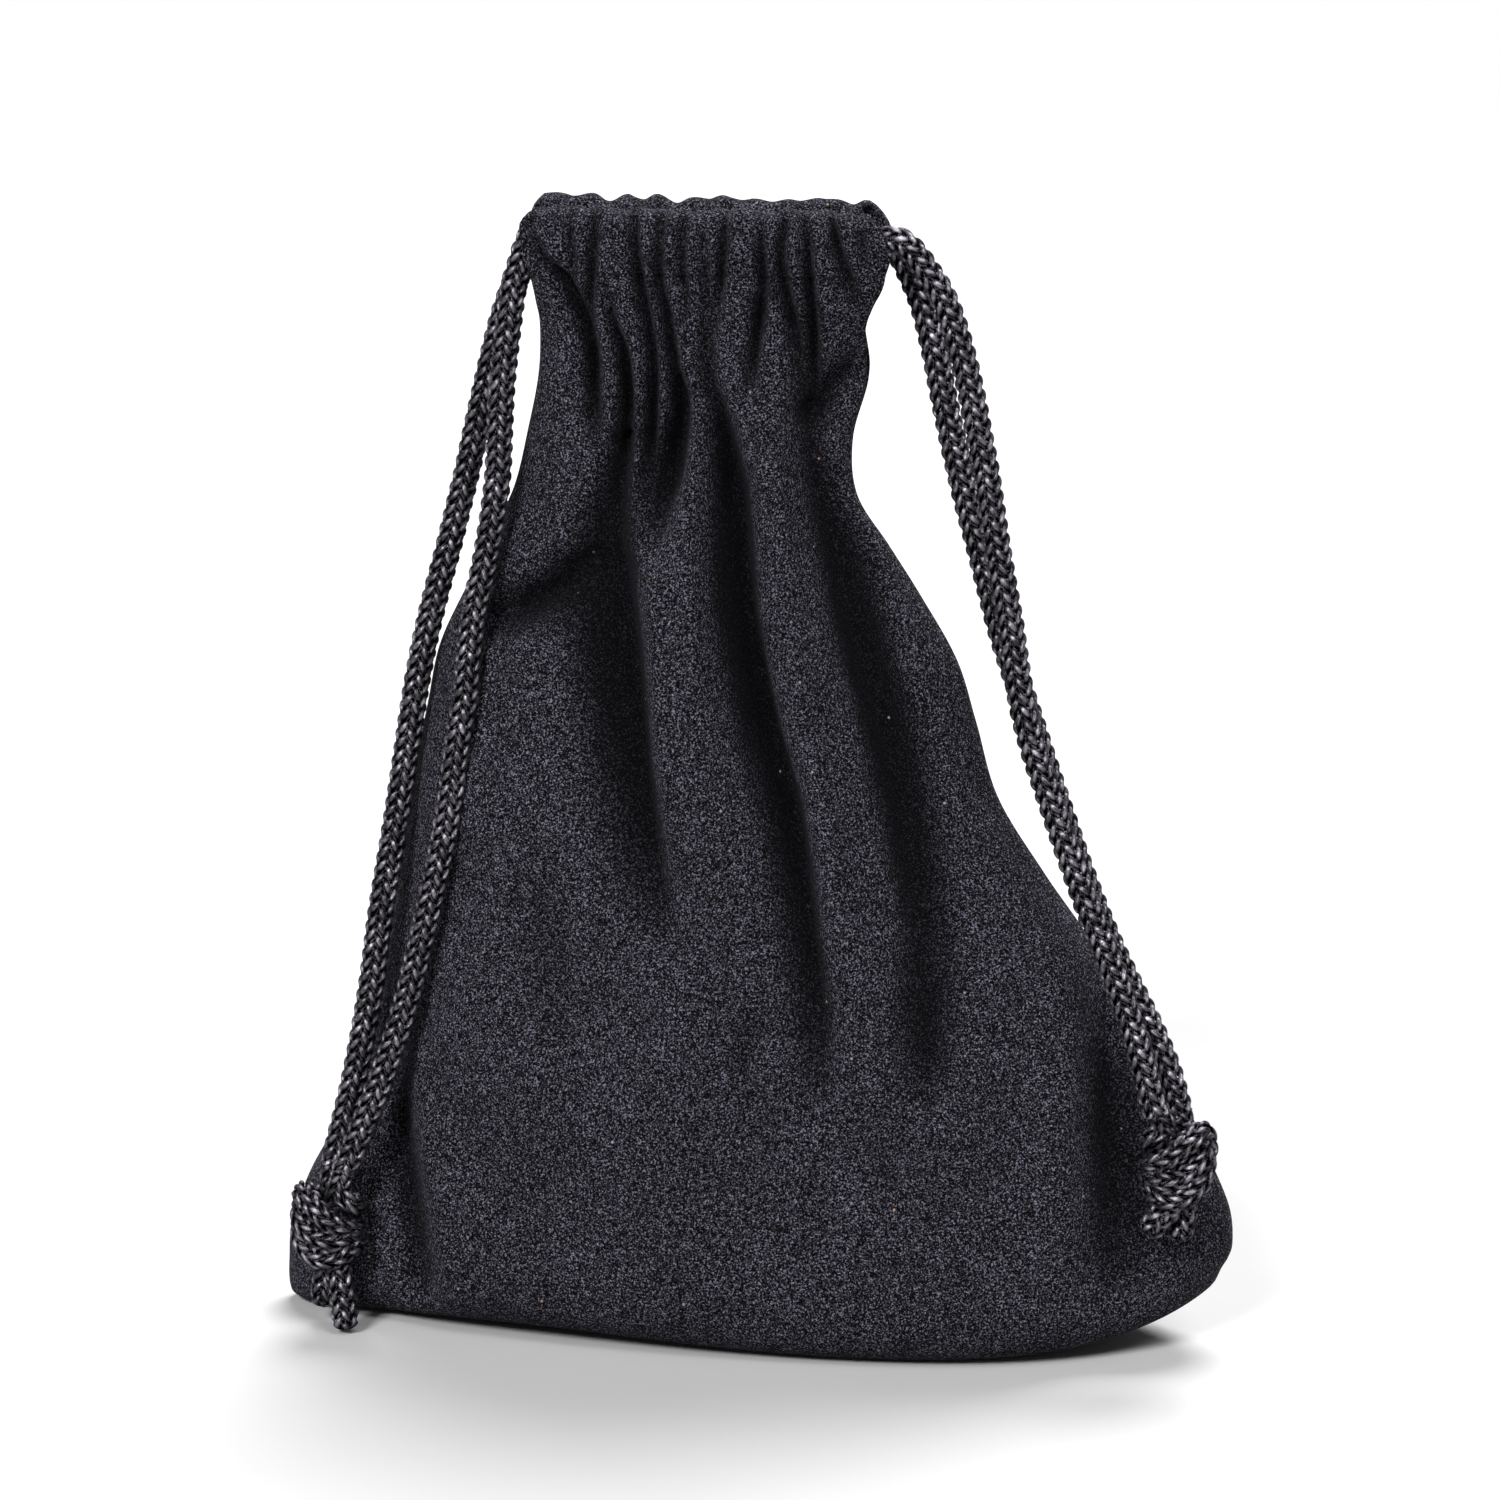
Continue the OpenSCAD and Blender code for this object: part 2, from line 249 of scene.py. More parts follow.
def braid(name):
    """Glossy black yarn with painted shade between its stitches and painted glints. The mesh gives each
    stitch its place along and across, and its own number.
    """
    s = Shader(name)
    parts = s.node("ShaderNodeSeparateXYZ", {"Vector": s.attribute("stitch", "Vector")})
    along, across, number = parts.outputs["X"], parts.outputs["Y"], parts.outputs["Z"]
    # Fine fibres that run along the stitch
    fibre_inputs = {"X": s.math("MULTIPLY", along, 0.9), "Y": s.math("MULTIPLY", across, 4.5), "Z": number}
    fibre = s.noise(s.node("ShaderNodeCombineXYZ", fibre_inputs).outputs[0], 1.0, 3.0, 0.6)
    tone = s.noise(s.place(), 420.0, 2.0, 0.6)
    long_way = s.math("POWER", s.math("DIVIDE", along, STITCH_HALF_LENGTH), 2.0)
    wide_way = s.math("POWER", s.math("DIVIDE", across, STITCH_HALF_WIDTH), 2.0)
    crest = s.math("SUBTRACT", 1.0, s.math("ADD", long_way, wide_way))
    crest = s.spread(crest, 0.25, 0.85)
    # Painted shade: the gaps between the stitches are near black. Painted glints: the bright glint patches;
    # the satin streaks are partly the yarn's own fibres and partly painted glints
    gap_shade, dull = (0.0004, 0.0004, 0.0005, 1.0), (0.005, 0.0047, 0.0055, 1.0)
    satin, glint = (0.165, 0.155, 0.179, 1.0), (0.420, 0.394, 0.450, 1.0)
    yarn = s.mix(s.spread(fibre, 0.35, 0.68), dull, satin)
    yarn = s.mix(s.spread(tone, 0.45, 0.75, 0.0, 0.6), yarn, glint)
    s.set(Base_Color=s.mix(crest, gap_shade, yarn), Roughness=s.spread(crest, 0.0, 0.5, 0.80, 0.32))
    # Part metallic, so that the gaps between the stitches, painted in shade, stay black and the yarn has its
    # satin glints
    s.set(Metallic=0.9, Specular_IOR_Level=0.1, Normal=s.bump(fibre, 0.8, 0.0003))
    s.set(Specular_Tint=(0.30, 0.28, 0.33, 1.0))
    return s.material


def sewing_thread(name):
    """Matte black thread with a fine twist."""
    s = Shader(name)
    inputs = {"Vector": s.place(), "Scale": 900.0, "Distortion": 3.0}
    twist = s.node("ShaderNodeTexWave", inputs).outputs["Fac"]
    colour = s.mix(s.spread(twist, 0.3, 0.8), grey(0.001, 1.2), grey(0.005, 1.2))
    s.set(Base_Color=colour, Roughness=0.85, Specular_IOR_Level=0.1, Normal=s.bump(twist, 0.5, 0.0001))
    return s.material


def paper(name):
    """The plain ground under the bag."""
    s = Shader(name)
    tone = s.noise(s.place(), 30.0, 2.0, 0.5)
    s.set(Base_Color=s.mix(tone, grey(0.335), grey(0.345)), Roughness=0.9, Specular_IOR_Level=0.05)
    return s.material


# ---------------- mesh helpers


def make_mesh(name, points, faces, material, smooth=True):
    """An object from points in millimetres."""
    mesh = bpy.data.meshes.new(name)
    mesh.from_pydata((np.asarray(points) * MM).tolist(), [], faces)
    mesh.polygons.foreach_set("use_smooth", [smooth] * len(mesh.polygons))
    mesh.materials.append(material)
    mesh.update()
    obj = bpy.data.objects.new(name, mesh)
    bpy.context.scene.collection.objects.link(obj)
    return obj


def grid_faces(rows, columns, start=0, wrap=False, flip=False):
    """The quads of a grid of points, whose last column may join its first."""
    across = columns if wrap else columns - 1
    r, c = (a.ravel() for a in np.mgrid[0:rows - 1, 0:across])
    right = (c + 1) % columns
    low, high = r * columns, (r + 1) * columns
    quads = np.stack([low + c, low + right, high + right, high + c]).T + start
    return (quads[:, ::-1] if flip else quads).tolist()


def grid_border(rows, columns):
    """The points round the edge of a grid, in order."""
    border = list(range(columns)) + [r * columns + columns - 1 for r in range(1, rows)]
    border += [rows * columns - 1 - c for c in range(1, columns)]
    return border + [r * columns for r in range(rows - 2, 0, -1)]


def smooth_step(t):
    t = np.clip(t, 0.0, 1.0)
    return t * t * (3 - 2 * t)


def bell(t):
    return np.exp(-t * t)


def limited(push, room):
    """A push that never passes the room there is for it."""
    return push / (1 + (np.maximum(push, 0) / room)**4)**0.25


def way_along(line):
    """How far each point of a line is along it."""
    return np.r_[0, np.cumsum(np.linalg.norm(np.diff(line, axis=0), axis=1))]


def curve_through(points, steps_each):
    """A Catmull-Rom curve through rows of numbers, with that many steps between two rows."""
    p = np.asarray(points, float)
    p = np.vstack([2 * p[0] - p[1], p, 2 * p[-1] - p[-2]])
    t = np.linspace(0, 1, steps_each, endpoint=False)[:, None]
    pieces = []
    for a, b, c, d in zip(p, p[1:], p[2:], p[3:]):
        pieces.append(0.5 * (2 * b + (c - a) * t + (2 * a - 5 * b + 4 * c - d) * t**2
                             + (3 * b - a - 3 * c + d) * t**3))
    return np.vstack(pieces + [p[-2][None]])


def even_steps(line, step):
    """The same line with points a step apart."""
    far = way_along(line)
    count = max(2, int(round(far[-1] / step)) + 1)
    at = np.linspace(0, far[-1], count)
    return np.stack([np.interp(at, far, column) for column in line.T], axis=1)


class Ripple:
    """Smooth, repeatable unevenness: a sum of slanted waves whose lengths are around wavelength."""

    def __init__(self, seed, wavelength, waves=14):
        draw = np.random.default_rng(seed)
        heading = draw.uniform(0, 2 * math.pi, waves)
        number = 2 * math.pi / (wavelength * draw.uniform(0.7, 1.6, waves))
        self.kx = np.cos(heading) * number
        self.kz = np.sin(heading) * number
        self.phase = draw.uniform(0, 2 * math.pi, waves)
        self.share = math.sqrt(2.0 / waves)

    def __call__(self, x, z):
        waves = [np.sin(kx * x + kz * z + p) for kx, kz, p in zip(self.kx, self.kz, self.phase)]
        return self.share * sum(waves)


# ---------------- the cloth

# One row for each level of the cloth: height, left edge, right edge, depth from the seam plane,
# how much of the ear rise it takes, and how square its section is (0 a lens, 1 a flat tube)
POUCH_ROWS = [
    [0, -77, 68, 0.1, 0.75, 0], [0, -77.8, 70, 9.3, 0.8, 0], [0, -78.3, 72, 16.4, 0.85, 0],
    [0.6, -78.8, 73.8, 21.2, 0.9, 0], [2.6, -79.1, 75, 24.4, 0.95, 0], [6, -79, 76, 26, 0.8, 0],
    [12, -78.5, 76.7, 26.5, 0.5, 0], [21, -75.8, 76.1, 26.2, 0.2, 0], [30, -71.4, 73, 25.8, 0.05, 0],
    [41, -67.8, 68.2, 25, 0, 0], [53, -64.7, 60, 23.9, 0, 0], [65, -61.8, 53.6, 22.5, 0, 0],
    [76, -60, 45.8, 20.9, 0, 0], [88, -58, 38.2, 19.1, 0, 0], [100, -55.4, 34.6, 17.2, 0, 0],
    [110, -53.2, 31.4, 15.4, 0, 0], [120, -48.4, 25.6, 13.5, 0, 0], [128, -44.4, 20.4, 12.1, 0, 0],
    [136, -40.6, 15.2, 10.6, 0, 0], [145, -38.2, 14.4, 9.8, 0, 0.05], [154, -36.2, 16.7, 9.3, 0, 0.15],
    [162, -35.4, 17, 9.1, 0, 0.4], [166, -35.4, 18.6, 9.3, 0, 0.7], [169, -35.6, 20.4, 9.7, 0, 0.85]
]
# The casing goes on over the top and down inside to its hem
CASING_ROWS = [
    [171.5, -36, 21.2, 10.1, 0, 0.95], [174, -36.4, 21.7, 10.4, 0, 1], [176.4, -37, 21.5, 10.3, 0, 1],
    [178.8, -37, 20.3, 9.8, 0, 1], [180.4, -35.6, 18.7, 8.7, 0, 1], [181.1, -34, 17.3, 6.9, 0, 1],
    [180.6, -33.8, 17.2, 4.9, 0, 1], [178.4, -34.6, 18.4, 3.6, 0, 1], [174.6, -35.4, 20, 3, 0, 1],
    [171.6, -35.6, 20, 3.9, 0, 1], [170.2, -35.6, 20, 5.6, 0, 1]
]
HEM_Z = 170.6  # the line of stitches at the foot of the casing
CLOTH_T = 1.1
LEAST_GAP = 0.05  # from the seam plane to the inner skin
CLOTH_COLUMNS = 190
CLOTH_STEP = 0.95  # from one row of points to the next

FOLD_GAIN = 1.95  # how deep the folds are, as a multiple of the depths below
PLEAT_GAIN = 2.5
PLEAT_WIDTH = 0.8
FOLD_ROOM = 0.88  # no fold goes in further than this share of the depth it has there
PLEAT_TOP = 182.4  # the folds and pleats stay as they are at this height up to the rim
RIM_Z = 178  # above this height the pleats are shallower
RIM_PLEAT_LOSS = 0.55  # by this share of their depth
INSIDE_PUSH = 0.2  # how much of the folds shows on the inside of the casing
LEAST_OVER_CORD = 7.4  # the casing can't be pushed in further than the cords inside it
HEM_PINCH = 0.35  # how far the stitches pull the cloth in
# The painted shade of a crease grows with the depth of its fold or pleat
CREASE_SHADE_DEPTH = 1.9  # a pleat this deep is nearly two thirds as dark as it can be

BROAD_WAVE = 0.5
SMALL_WAVE = 0.12
NAP_WAVE = 0.08
NECK_CALM = 0.55  # the neck, which the gathers hold, loses this share of the waves
RUFFLE = 0.5  # how uneven the rim is

EAR_LEFT = 0.8  # the bottom edge rises this far towards the left seam
EAR_RIGHT = 11  # and this far towards the right one
BACK_RISE = 0.7  # the back rim stands this much higher
BACK_SHIFT = 2.6  # the back casing sits this far to the left of the front one
FRONT_LIFT = 2.2  # the bottom of the front is up off the ground by this much
LIFT_AT = -0.42  # most of all here, where -1 is the left seam and 1 the right one
LIFT_WIDTH = 0.4
LIFT_HEIGHT = 26  # and up to this height
CORNER_FORWARD = 4.5  # the left bottom corner is bent this far towards the front
CORNER_X = -58  # from here to the left
CORNER_WIDTH = 18
CORNER_TOP = 32  # and from here down
CORNER_HEIGHT = 20

# Folds of the front, each a line that falls from the gathers:
# rows of height, x, depth (a ridge is below 0), width to the left, width to the right
FRONT_FOLDS = [
    # the deepest fold, down the middle
    [[181, -7.6, 0.3, 1.2, 1.2], [174, -7.5, 1.1, 1.3, 1.3], [166, -7.5, 1.4, 1.3, 1.5],
     [155, -7.1, 1.9, 1.6, 1.7], [149, -5.2, 2.6, 2.2, 1.8], [136, -3.1, 5.2, 3.2, 2.2],
     [118, -1, 6.4, 3.6, 2.1], [102, 2.9, 5.8, 3.8, 2.1], [88, 7.4, 4.8, 3.8, 2.3],
     [74, 10.3, 3.5, 3.8, 2.5], [58, 12.7, 2.4, 3.8, 3], [47, 13.4, 1.2, 3.6, 3.4], [36, 13.6, 0, 4, 4]],
    # the broad one to its left
    [[146, -21, 1.4, 1.6, 1.8], [138, -21.6, 2.2, 3.5, 2.2], [130, -22, 3.4, 6, 3],
     [120, -20.6, 4.8, 8, 2.6], [105, -18, 4.4, 8, 2.4], [88, -15, 3.2, 8, 2.4], [74, -12.6, 1.6, 8, 2.6],
     [62, -10.6, 0, 8, 3]],
    # the one to its right, with a sharp left edge
    [[152, 8.2, 1.5, 1.6, 2.6], [143, 8.6, 2.6, 1.7, 3.6], [133, 10.8, 4.2, 1.9, 5],
     [115, 15.2, 5.2, 1.5, 5], [103, 19.2, 4.8, 1.6, 5.4], [87, 23.6, 3.8, 1.8, 5.8],
     [72, 27.2, 2.5, 2.2, 6], [56, 30.2, 1.3, 3, 6.6], [44, 32, 0, 4, 7]],
    # wedge under the pleats
    [[156, -12.6, 0.4, 1.5, 1.4], [150, -11.5, 3, 2, 1.6], [141, -12.9, 4.4, 2.8, 2],
     [131, -14.6, 1.6, 3.2, 2.2], [120, -15, 0, 3, 3]],
    # slanting dart at the right of the neck
    [[161, 17.4, 0.3, 2, 2.4], [157.5, 15, 1.9, 2.4, 3], [153.5, 11.6, 2.6, 2.6, 3.4],
     [150, 8.6, 2.2, 2, 3.2], [146, 8, 0, 2, 3]],
    # soft one on the left shoulder
    [[128, -26, 0, 4, 4], [122, -30, 2.2, 6, 4.5], [117, -37, 2.8, 8, 5], [110, -45, 0, 8, 5]],
    # ridges between the folds
    [[152, -9, -0.4, 2.4, 2.4], [144, -8.6, -1.2, 2.8, 2.8], [122, -8.4, -1.5, 3.6, 3],
     [100, -6, -1.3, 4.4, 3.4], [76, -2.6, -0.4, 5, 4], [66, -1, 0, 5, 4]],
    [[154, 0.6, -0.4, 3, 3], [142, 3.4, -1.4, 3.2, 3], [128, 6, -1.9, 3.6, 2.8],
     [104, 10.6, -1.8, 4.2, 3], [82, 15.2, -1.3, 4.6, 3.4], [62, 19.4, -0.5, 5, 4], [50, 21, 0, 5, 4]],
    [[132, -13.6, 0, 2.4, 2.4], [122, -14.4, -0.8, 2.4, 2.6], [100, -12.6, -1, 3, 3], [74, -9, 0, 4, 4]],
    [[148, 9.8, 0, 2.6, 3], [140, 13.4, -1, 3.4, 4], [132, 19, -0.9, 4, 4], [127, 24, 0, 4, 4]],
    # soft ones in the lower front
    [[62, 2, 0, 5, 5], [54, 1.8, 0.9, 5, 5], [44, 2.1, 0.7, 5, 5], [34, 2.4, 0, 5, 5]],
    [[68, 26, 0, 5, 4], [57, 28.6, 1.4, 5, 3.4], [47, 30.4, 1.3, 5, 3.4], [38, 31.4, 0, 5, 4]],
    [[44, 22.6, 0, 5, 4], [34, 24, 0.8, 5, 4], [20, 25.4, 0, 5, 4]],
    [[56, 45.4, 0, 4, 5], [46, 44.6, 0.5, 4, 5], [30, 43, 0.5, 4, 5], [12, 42.4, 0, 4, 5]],
    [[92, -36, 0, 9, 8], [76, -33, 0.8, 9, 8], [52, -30, 0.7, 9, 8], [36, -28, 0, 9, 8]],
    # the edge where the front turns into the right side, and the hollow past it
    [[74, 52, 0, 3, 1.4], [69.6, 53.4, -1, 4, 1.2], [60, 52.6, -1.5, 5, 1.3], [45, 52.4, -1.5, 5.4, 1.6],
     [29, 52.4, -1.1, 5.4, 2.2], [14, 52, -0.5, 5, 3], [4, 52, 0, 5, 4]],
    [[72, 56, 0, 1.4, 2], [64, 56, 1.9, 1.6, 4], [54, 56.6, 3.4, 1.9, 7], [40, 57.4, 3.7, 2.4, 9],
     [24, 58.8, 2.5, 3.4, 9.4], [8, 60, 0, 5, 7]],
    # the seam edge that stands a little in from the right outline
    [[98, 33, 0, 1, 1.2], [90, 36.2, 0.9, 1, 1.4], [81, 41.6, 1.3, 1, 1.6], [72, 48.2, 1.1, 1, 1.6],
     [66, 52, 0, 1, 1.6]],
    # crease beside the left corner
    [[56, -60.4, 0, 2.4, 2.4], [44, -59, 1.4, 2.8, 3], [28, -56.4, 2.4, 3, 3.6],
     [12, -53.4, 2, 3, 4], [2, -52, 0.6, 3, 4]],
    [[52, -55, 0, 3, 3], [36, -52.6, -0.9, 3, 4], [14, -48.6, -0.9, 3.4, 4.6], [2, -47, -0.3, 4, 5]]
]

# Pleats of the front casing and neck, in the same form
FRONT_PLEATS = [
    [[180, -36, 0.2, 1.2, 1.2], [174, -33.6, 0.9, 1.4, 1.2], [169.5, -29.6, 1.6, 1.6, 1.3],
     [160, -26.5, 2, 1.7, 1.4], [151.6, -26.2, 1.7, 1.5, 1.5], [142, -25.4, 0, 2, 2]],
    [[181, -29.4, 0.4, 1, 1], [175, -28.6, 0.7, 1, 1], [169, -28, 0, 1, 1]],
    [[182, -25, 0.4, 1, 1], [175.5, -25, 1, 1.1, 1.1], [167.5, -25.9, 1, 1.1, 1], [161, -26, 0, 1, 1]],
    [[170, -23.4, 0, 1, 1], [163, -22.3, 1.1, 1.1, 1.1], [157.8, -20.9, 1.8, 1.3, 1.2],
     [149, -20.6, 2.2, 1.5, 1.3], [140, -21.6, 1, 2, 2], [132, -22.4, 0, 2, 2]],
    [[182, -18.9, 0.6, 1, 1], [170, -17.9, 1.4, 1.2, 1.1], [158, -16.1, 1.5, 1.3, 1.2],
     [145, -16.8, 1.9, 1.5, 1.3], [134, -17.6, 0, 2, 2]],
    [[182, -14.2, 0.7, 0.9, 1], [170, -14.8, 1.3, 1.1, 1.1], [165, -13.7, 1.5, 1.2, 1.1],
     [157, -12.6, 1.5, 1.3, 1.2], [152, -12, 1, 1.4, 1.4], [147, -12, 0, 1.4, 1.4]],
    [[182, -10.6, 0.5, 0.9, 0.9], [173, -11, 0.9, 1, 1], [166, -10.4, 0.6, 1, 1], [160, -10, 0, 1, 1]],
    [[181, -4.4, 0.5, 0.9, 0.9], [175.4, -4.4, 1.1, 1.1, 1], [168.4, -5.3, 1.1, 1, 1], [162, -6, 0, 1, 1]],
    [[180, 1.5, 0.3, 0.9, 0.9], [174, 1.7, 1.1, 1, 1], [168, 1.7, 1.1, 1.1, 1], [162, 1.4, 0.3, 1, 1],
     [158, 0.8, 0, 1, 1]],
    [[169, 0.9, 0, 0.9, 0.9], [164, 0.6, 1.4, 1.1, 1], [157, 0, 1.2, 1.2, 1], [150, -0.6, 0, 1.4, 1.4]],
    [[182, 5.8, 0.6, 0.9, 0.9], [173.3, 4.7, 1.2, 1, 1.1], [164, 6, 1.5, 1.2, 1.2],
     [154, 7.6, 0.7, 1.4, 1.4], [148, 8, 0, 1.4, 1.4]],
    [[182, 8.7, 0.6, 0.9, 0.9], [171.1, 9.1, 1.3, 1, 1.1], [159, 9.1, 1.7, 1.2, 1.3],
     [151, 8.8, 0.8, 1.4, 1.4], [146, 8.8, 0, 1.4, 1.4]],
    [[182.5, 12.1, 0.6, 0.9, 0.9], [176.6, 13.4, 1.3, 1.1, 1.1], [171.3, 15, 1.2, 1.1, 1.3],
     [165, 16.8, 0, 1.4, 1.4]],
    [[182, 16.8, 0.3, 1, 1], [176, 17.6, 0.7, 1, 1], [170, 18.4, 0, 1, 1]]
]

# The back has folds of its own
BACK_FOLDS = [
    [[172, 4, 0.8, 1.2, 1.3], [158, 3.2, 1.8, 1.6, 1.8], [142, 1, 3.8, 2.4, 3],
     [122, -2.6, 4.8, 2.6, 3.8], [98, -8, 3.6, 2.8, 4.6], [74, -13, 1.8, 3.6, 5], [52, -16, 0, 4, 5]],
    [[170, -12, 1, 1.3, 1.3], [152, -13, 2.2, 1.8, 1.8], [134, -16.4, 3.8, 3, 2.4],
     [112, -22.6, 3.8, 5, 3], [88, -29, 2.4, 6, 3.6], [62, -33, 0, 7, 4]],
    [[168, -24, 1, 1.3, 1.3], [150, -25.6, 1.8, 1.8, 1.6], [132, -30, 2.4, 3, 2.4],
     [112, -37, 2, 4.6, 3.6], [88, -43, 0, 6, 4]],
    [[164, 11, 1, 1.3, 1.3], [146, 8.6, 2, 1.8, 1.8], [126, 10, 3, 2, 3.6],
     [104, 14.4, 3.2, 2.4, 5.6], [80, 20, 2, 3, 6.6], [54, 26, 0.8, 4, 7], [38, 28, 0, 4, 7]],
    [[146, -4.6, -0.6, 2.6, 2.6], [122, -9.6, -1.6, 3.8, 3], [96, -15, -1.2, 4.6, 4], [70, -19, 0, 5, 5]],
    [[140, 5, -0.8, 2.6, 2.6], [118, 5.6, -1.5, 3, 2.8], [92, 6, -1, 4, 4], [66, 6, 0, 5, 5]],
    [[66, 52, 0, 3, 3], [50, 56, -1.4, 4, 3], [28, 56.6, -1.6, 5, 3.4], [8, 55, -0.8, 5, 4]],
    [[58, 60, 0, 3, 3], [42, 64, 1.8, 4, 4], [22, 65.6, 2.2, 5, 5], [8, 65, 0.6, 5, 5]],
    [[60, -56, 0, 3, 3], [42, -57.6, 1.6, 3.4, 3], [20, -58.6, 2, 4, 3.4], [6, -58, 0.6, 4, 4]],
    [[62, -24, 0, 7, 7], [46, -24, 1.1, 7, 7], [26, -23, 0.8, 7, 7], [12, -22, 0, 7, 7]],
    [[58, 38, 0, 6, 6], [42, 37, 1.1, 6, 6], [24, 37, 0.8, 6, 6], [10, 38, 0, 6, 6]]
]
BACK_PLEAT_XS = [-32.6, -28.8, -24.6, -20.4, -16.2, -11.6, -7.8, -3.4, 0.4, 4.2, 7.6, 11.6, 15.4]


def back_pleats():
    """Pleats at uneven places, each leaning and fading a little differently."""
    draw = np.random.default_rng(21)
    pleats = []
    for x in BACK_PLEAT_XS:
        lean = draw.uniform(-1.8, 1.8)
        low = draw.uniform(136, 162)
        deep = draw.uniform(0.5, 2)
        x = x + draw.uniform(-1.1, 1.1)
        pleats.append([[182, x, 0.5, 0.9, 0.9], [172, x + 0.3 * lean, 0.8 * deep, 1.1, 1.1],
                       [0.5 * (172 + low), x + 0.7 * lean, deep, 1.3, 1.3], [low, x + lean, 0, 1.6, 1.6]])
    return pleats


def with_width(pleats, share):
    """The same pleats with that share of their widths."""
    return [[row[:3] + [share * row[3], share * row[4]] for row in pleat] for pleat in pleats]


def relief(folds, x, z):
    """How far the folds push the cloth in at x, z."""
    pushed = np.zeros_like(x)
    for fold in folds:
        table = np.array(curve_through(fold, 6))[::-1]
        at, depth, left, right = (np.interp(z, table[:, 0], table[:, k]) for k in (1, 2, 3, 4))
        t = (x - at) / np.where(x < at, left, right)
        inside = (z >= table[0, 0]) & (z <= table[-1, 0])
        pushed += np.where(inside, depth * np.exp(-np.abs(t)**1.7), 0)
    return pushed


def corner_shift(x, z):
    """How far the left bottom corner is bent forward at x, z."""
    across = smooth_step((CORNER_X - x) / CORNER_WIDTH)
    return CORNER_FORWARD * across * smooth_step((CORNER_TOP - z) / CORNER_HEIGHT)


class Cloth:
    """One sheet, from the bottom seam up to the hem inside its casing. side is -1 for the front."""

    def __init__(self, side, folds, pleats, seed):
        self.side = side
        self.folds = folds
        self.pleats = with_width(pleats, PLEAT_WIDTH)
        self.broad = Ripple(seed, 30.0)
        self.small = Ripple(seed + 1, 8.0)
        self.nap = Ripple(seed + 2, 2.2, 22)
        self.rim = Ripple(seed + 3, 4.2)

    def level_rows(self):
        """The cloth's rows, a step apart, with a last column that is 1 inside the casing and 0 outside."""
        table = curve_through(POUCH_ROWS + CASING_ROWS, 12)
        over_top = np.argmax(table[:, 0])
        table = np.column_stack([table, np.arange(len(table)) > over_top])
        far = way_along(table[:, [0, 3]])
        at = np.linspace(0, far[-1], int(far[-1] / CLOTH_STEP) + 1)
        return np.stack([np.interp(at, far, column) for column in table.T], axis=1)

    def gathers(self, x, height):
        """How far the folds push the cloth in, and how far the pleats do."""
        level = np.minimum(height, PLEAT_TOP)
        fold = FOLD_GAIN * relief(self.folds, x, level)
        pleat = PLEAT_GAIN * relief(self.pleats, x, level)
        return fold, pleat * (1 - RIM_PLEAT_LOSS * smooth_step((height - RIM_Z) / 3))

    def waves(self, x, height):
        """The soft unevenness of the whole cloth, less at the ground and in the neck."""
        wave = BROAD_WAVE * self.broad(x, height) + SMALL_WAVE * self.small(x, height)
        wave = wave + NAP_WAVE * self.nap(x, height)
        return wave * smooth_step(height / 25) * (1 - NECK_CALM * smooth_step((height - 150) / 20))

    def surface(self, s, rows):
        """Points for each row and each s from -1, the left seam, to 1, the right one, and the painted shade
        of their creases.
        """
        z, left, right, depth, ear, square, inside = (rows[:, k:k + 1] for k in range(7))
        s = s[None, :]
        outer = 1 - inside
        x = (left + right) / 2 + s * (right - left) / 2
        height = z + np.where(s < 0, EAR_LEFT, EAR_RIGHT) * ear * np.abs(s)**5 + 0 * x
        lens = (1 - np.abs(s)**2.3)**0.62
        tube = 1 - 0.1 * np.abs(s)**6
        reach = depth * (lens * (1 - square) + tube * square)

        # The relief fades out at the ground, and at the seams below the casing
        fade = 1 - np.abs(s)**10 * (1 - square)
        upright = smooth_step((height - 0.5) / 5)
        fold, pleat = self.gathers(x, height)
        push = limited(fold + pleat, FOLD_ROOM * np.maximum(reach, 0.05))
        push = push + HEM_PINCH * bell(height - HEM_Z) * outer
        push = push * np.where(inside > 0, INSIDE_PUSH, 1)
        y = np.maximum(reach + (self.waves(x, height) - push) * fade * upright, 0.0)

        # The casing lies over the cords, and its rim is uneven
        over_cord = outer * smooth_step((height - 169) / 3) * (1 - smooth_step((height - 178.5) / 2))
        y = np.maximum(y, over_cord * (np.abs(s) < 0.94) * LEAST_OVER_CORD)
        height = height + RUFFLE * self.rim(x, 0 * x) * smooth_step((height - RIM_Z) / 5)
        y = y + RUFFLE * self.rim(x + 31, 0 * x) * smooth_step((height - RIM_Z + 2) / 6)

        y = self.side * y - corner_shift(x, height)
        if self.side > 0:
            x = x - BACK_SHIFT * smooth_step((height - 156) / 14)
            height = height + BACK_RISE * smooth_step((height - 170) / 8)
        else:
            low = np.minimum(depth / LIFT_HEIGHT, 1) * smooth_step(1 - z / LIFT_HEIGHT)
            height = height + FRONT_LIFT * bell((s - LIFT_AT) / LIFT_WIDTH) * low
        points = np.stack([x, y, np.maximum(height, 0.0)], axis=-1)
        # Painted shade for the material: the deeper a fold or pleat, the darker its crease is painted
        crease_shade = (1 - np.exp(-(np.maximum(fold - 1, 0) + pleat) / CREASE_SHADE_DEPTH)) * fade * outer
        return points, crease_shade

    def skin(self):
        """The outer skin, with its columns closer together towards the seams."""
        angle = np.linspace(-math.pi / 2, math.pi / 2, CLOTH_COLUMNS)
        s = np.sin(angle) * 0.6 + angle / (math.pi / 2) * 0.4
        return self.surface(s, self.level_rows())


def sheet_normals(grid, side):
    """Outward normals of a grid of points."""
    normals = np.cross(np.gradient(grid, axis=1), np.gradient(grid, axis=0))
    normals /= np.maximum(np.linalg.norm(normals, axis=-1, keepdims=True), 1e-9)
    return normals * -side


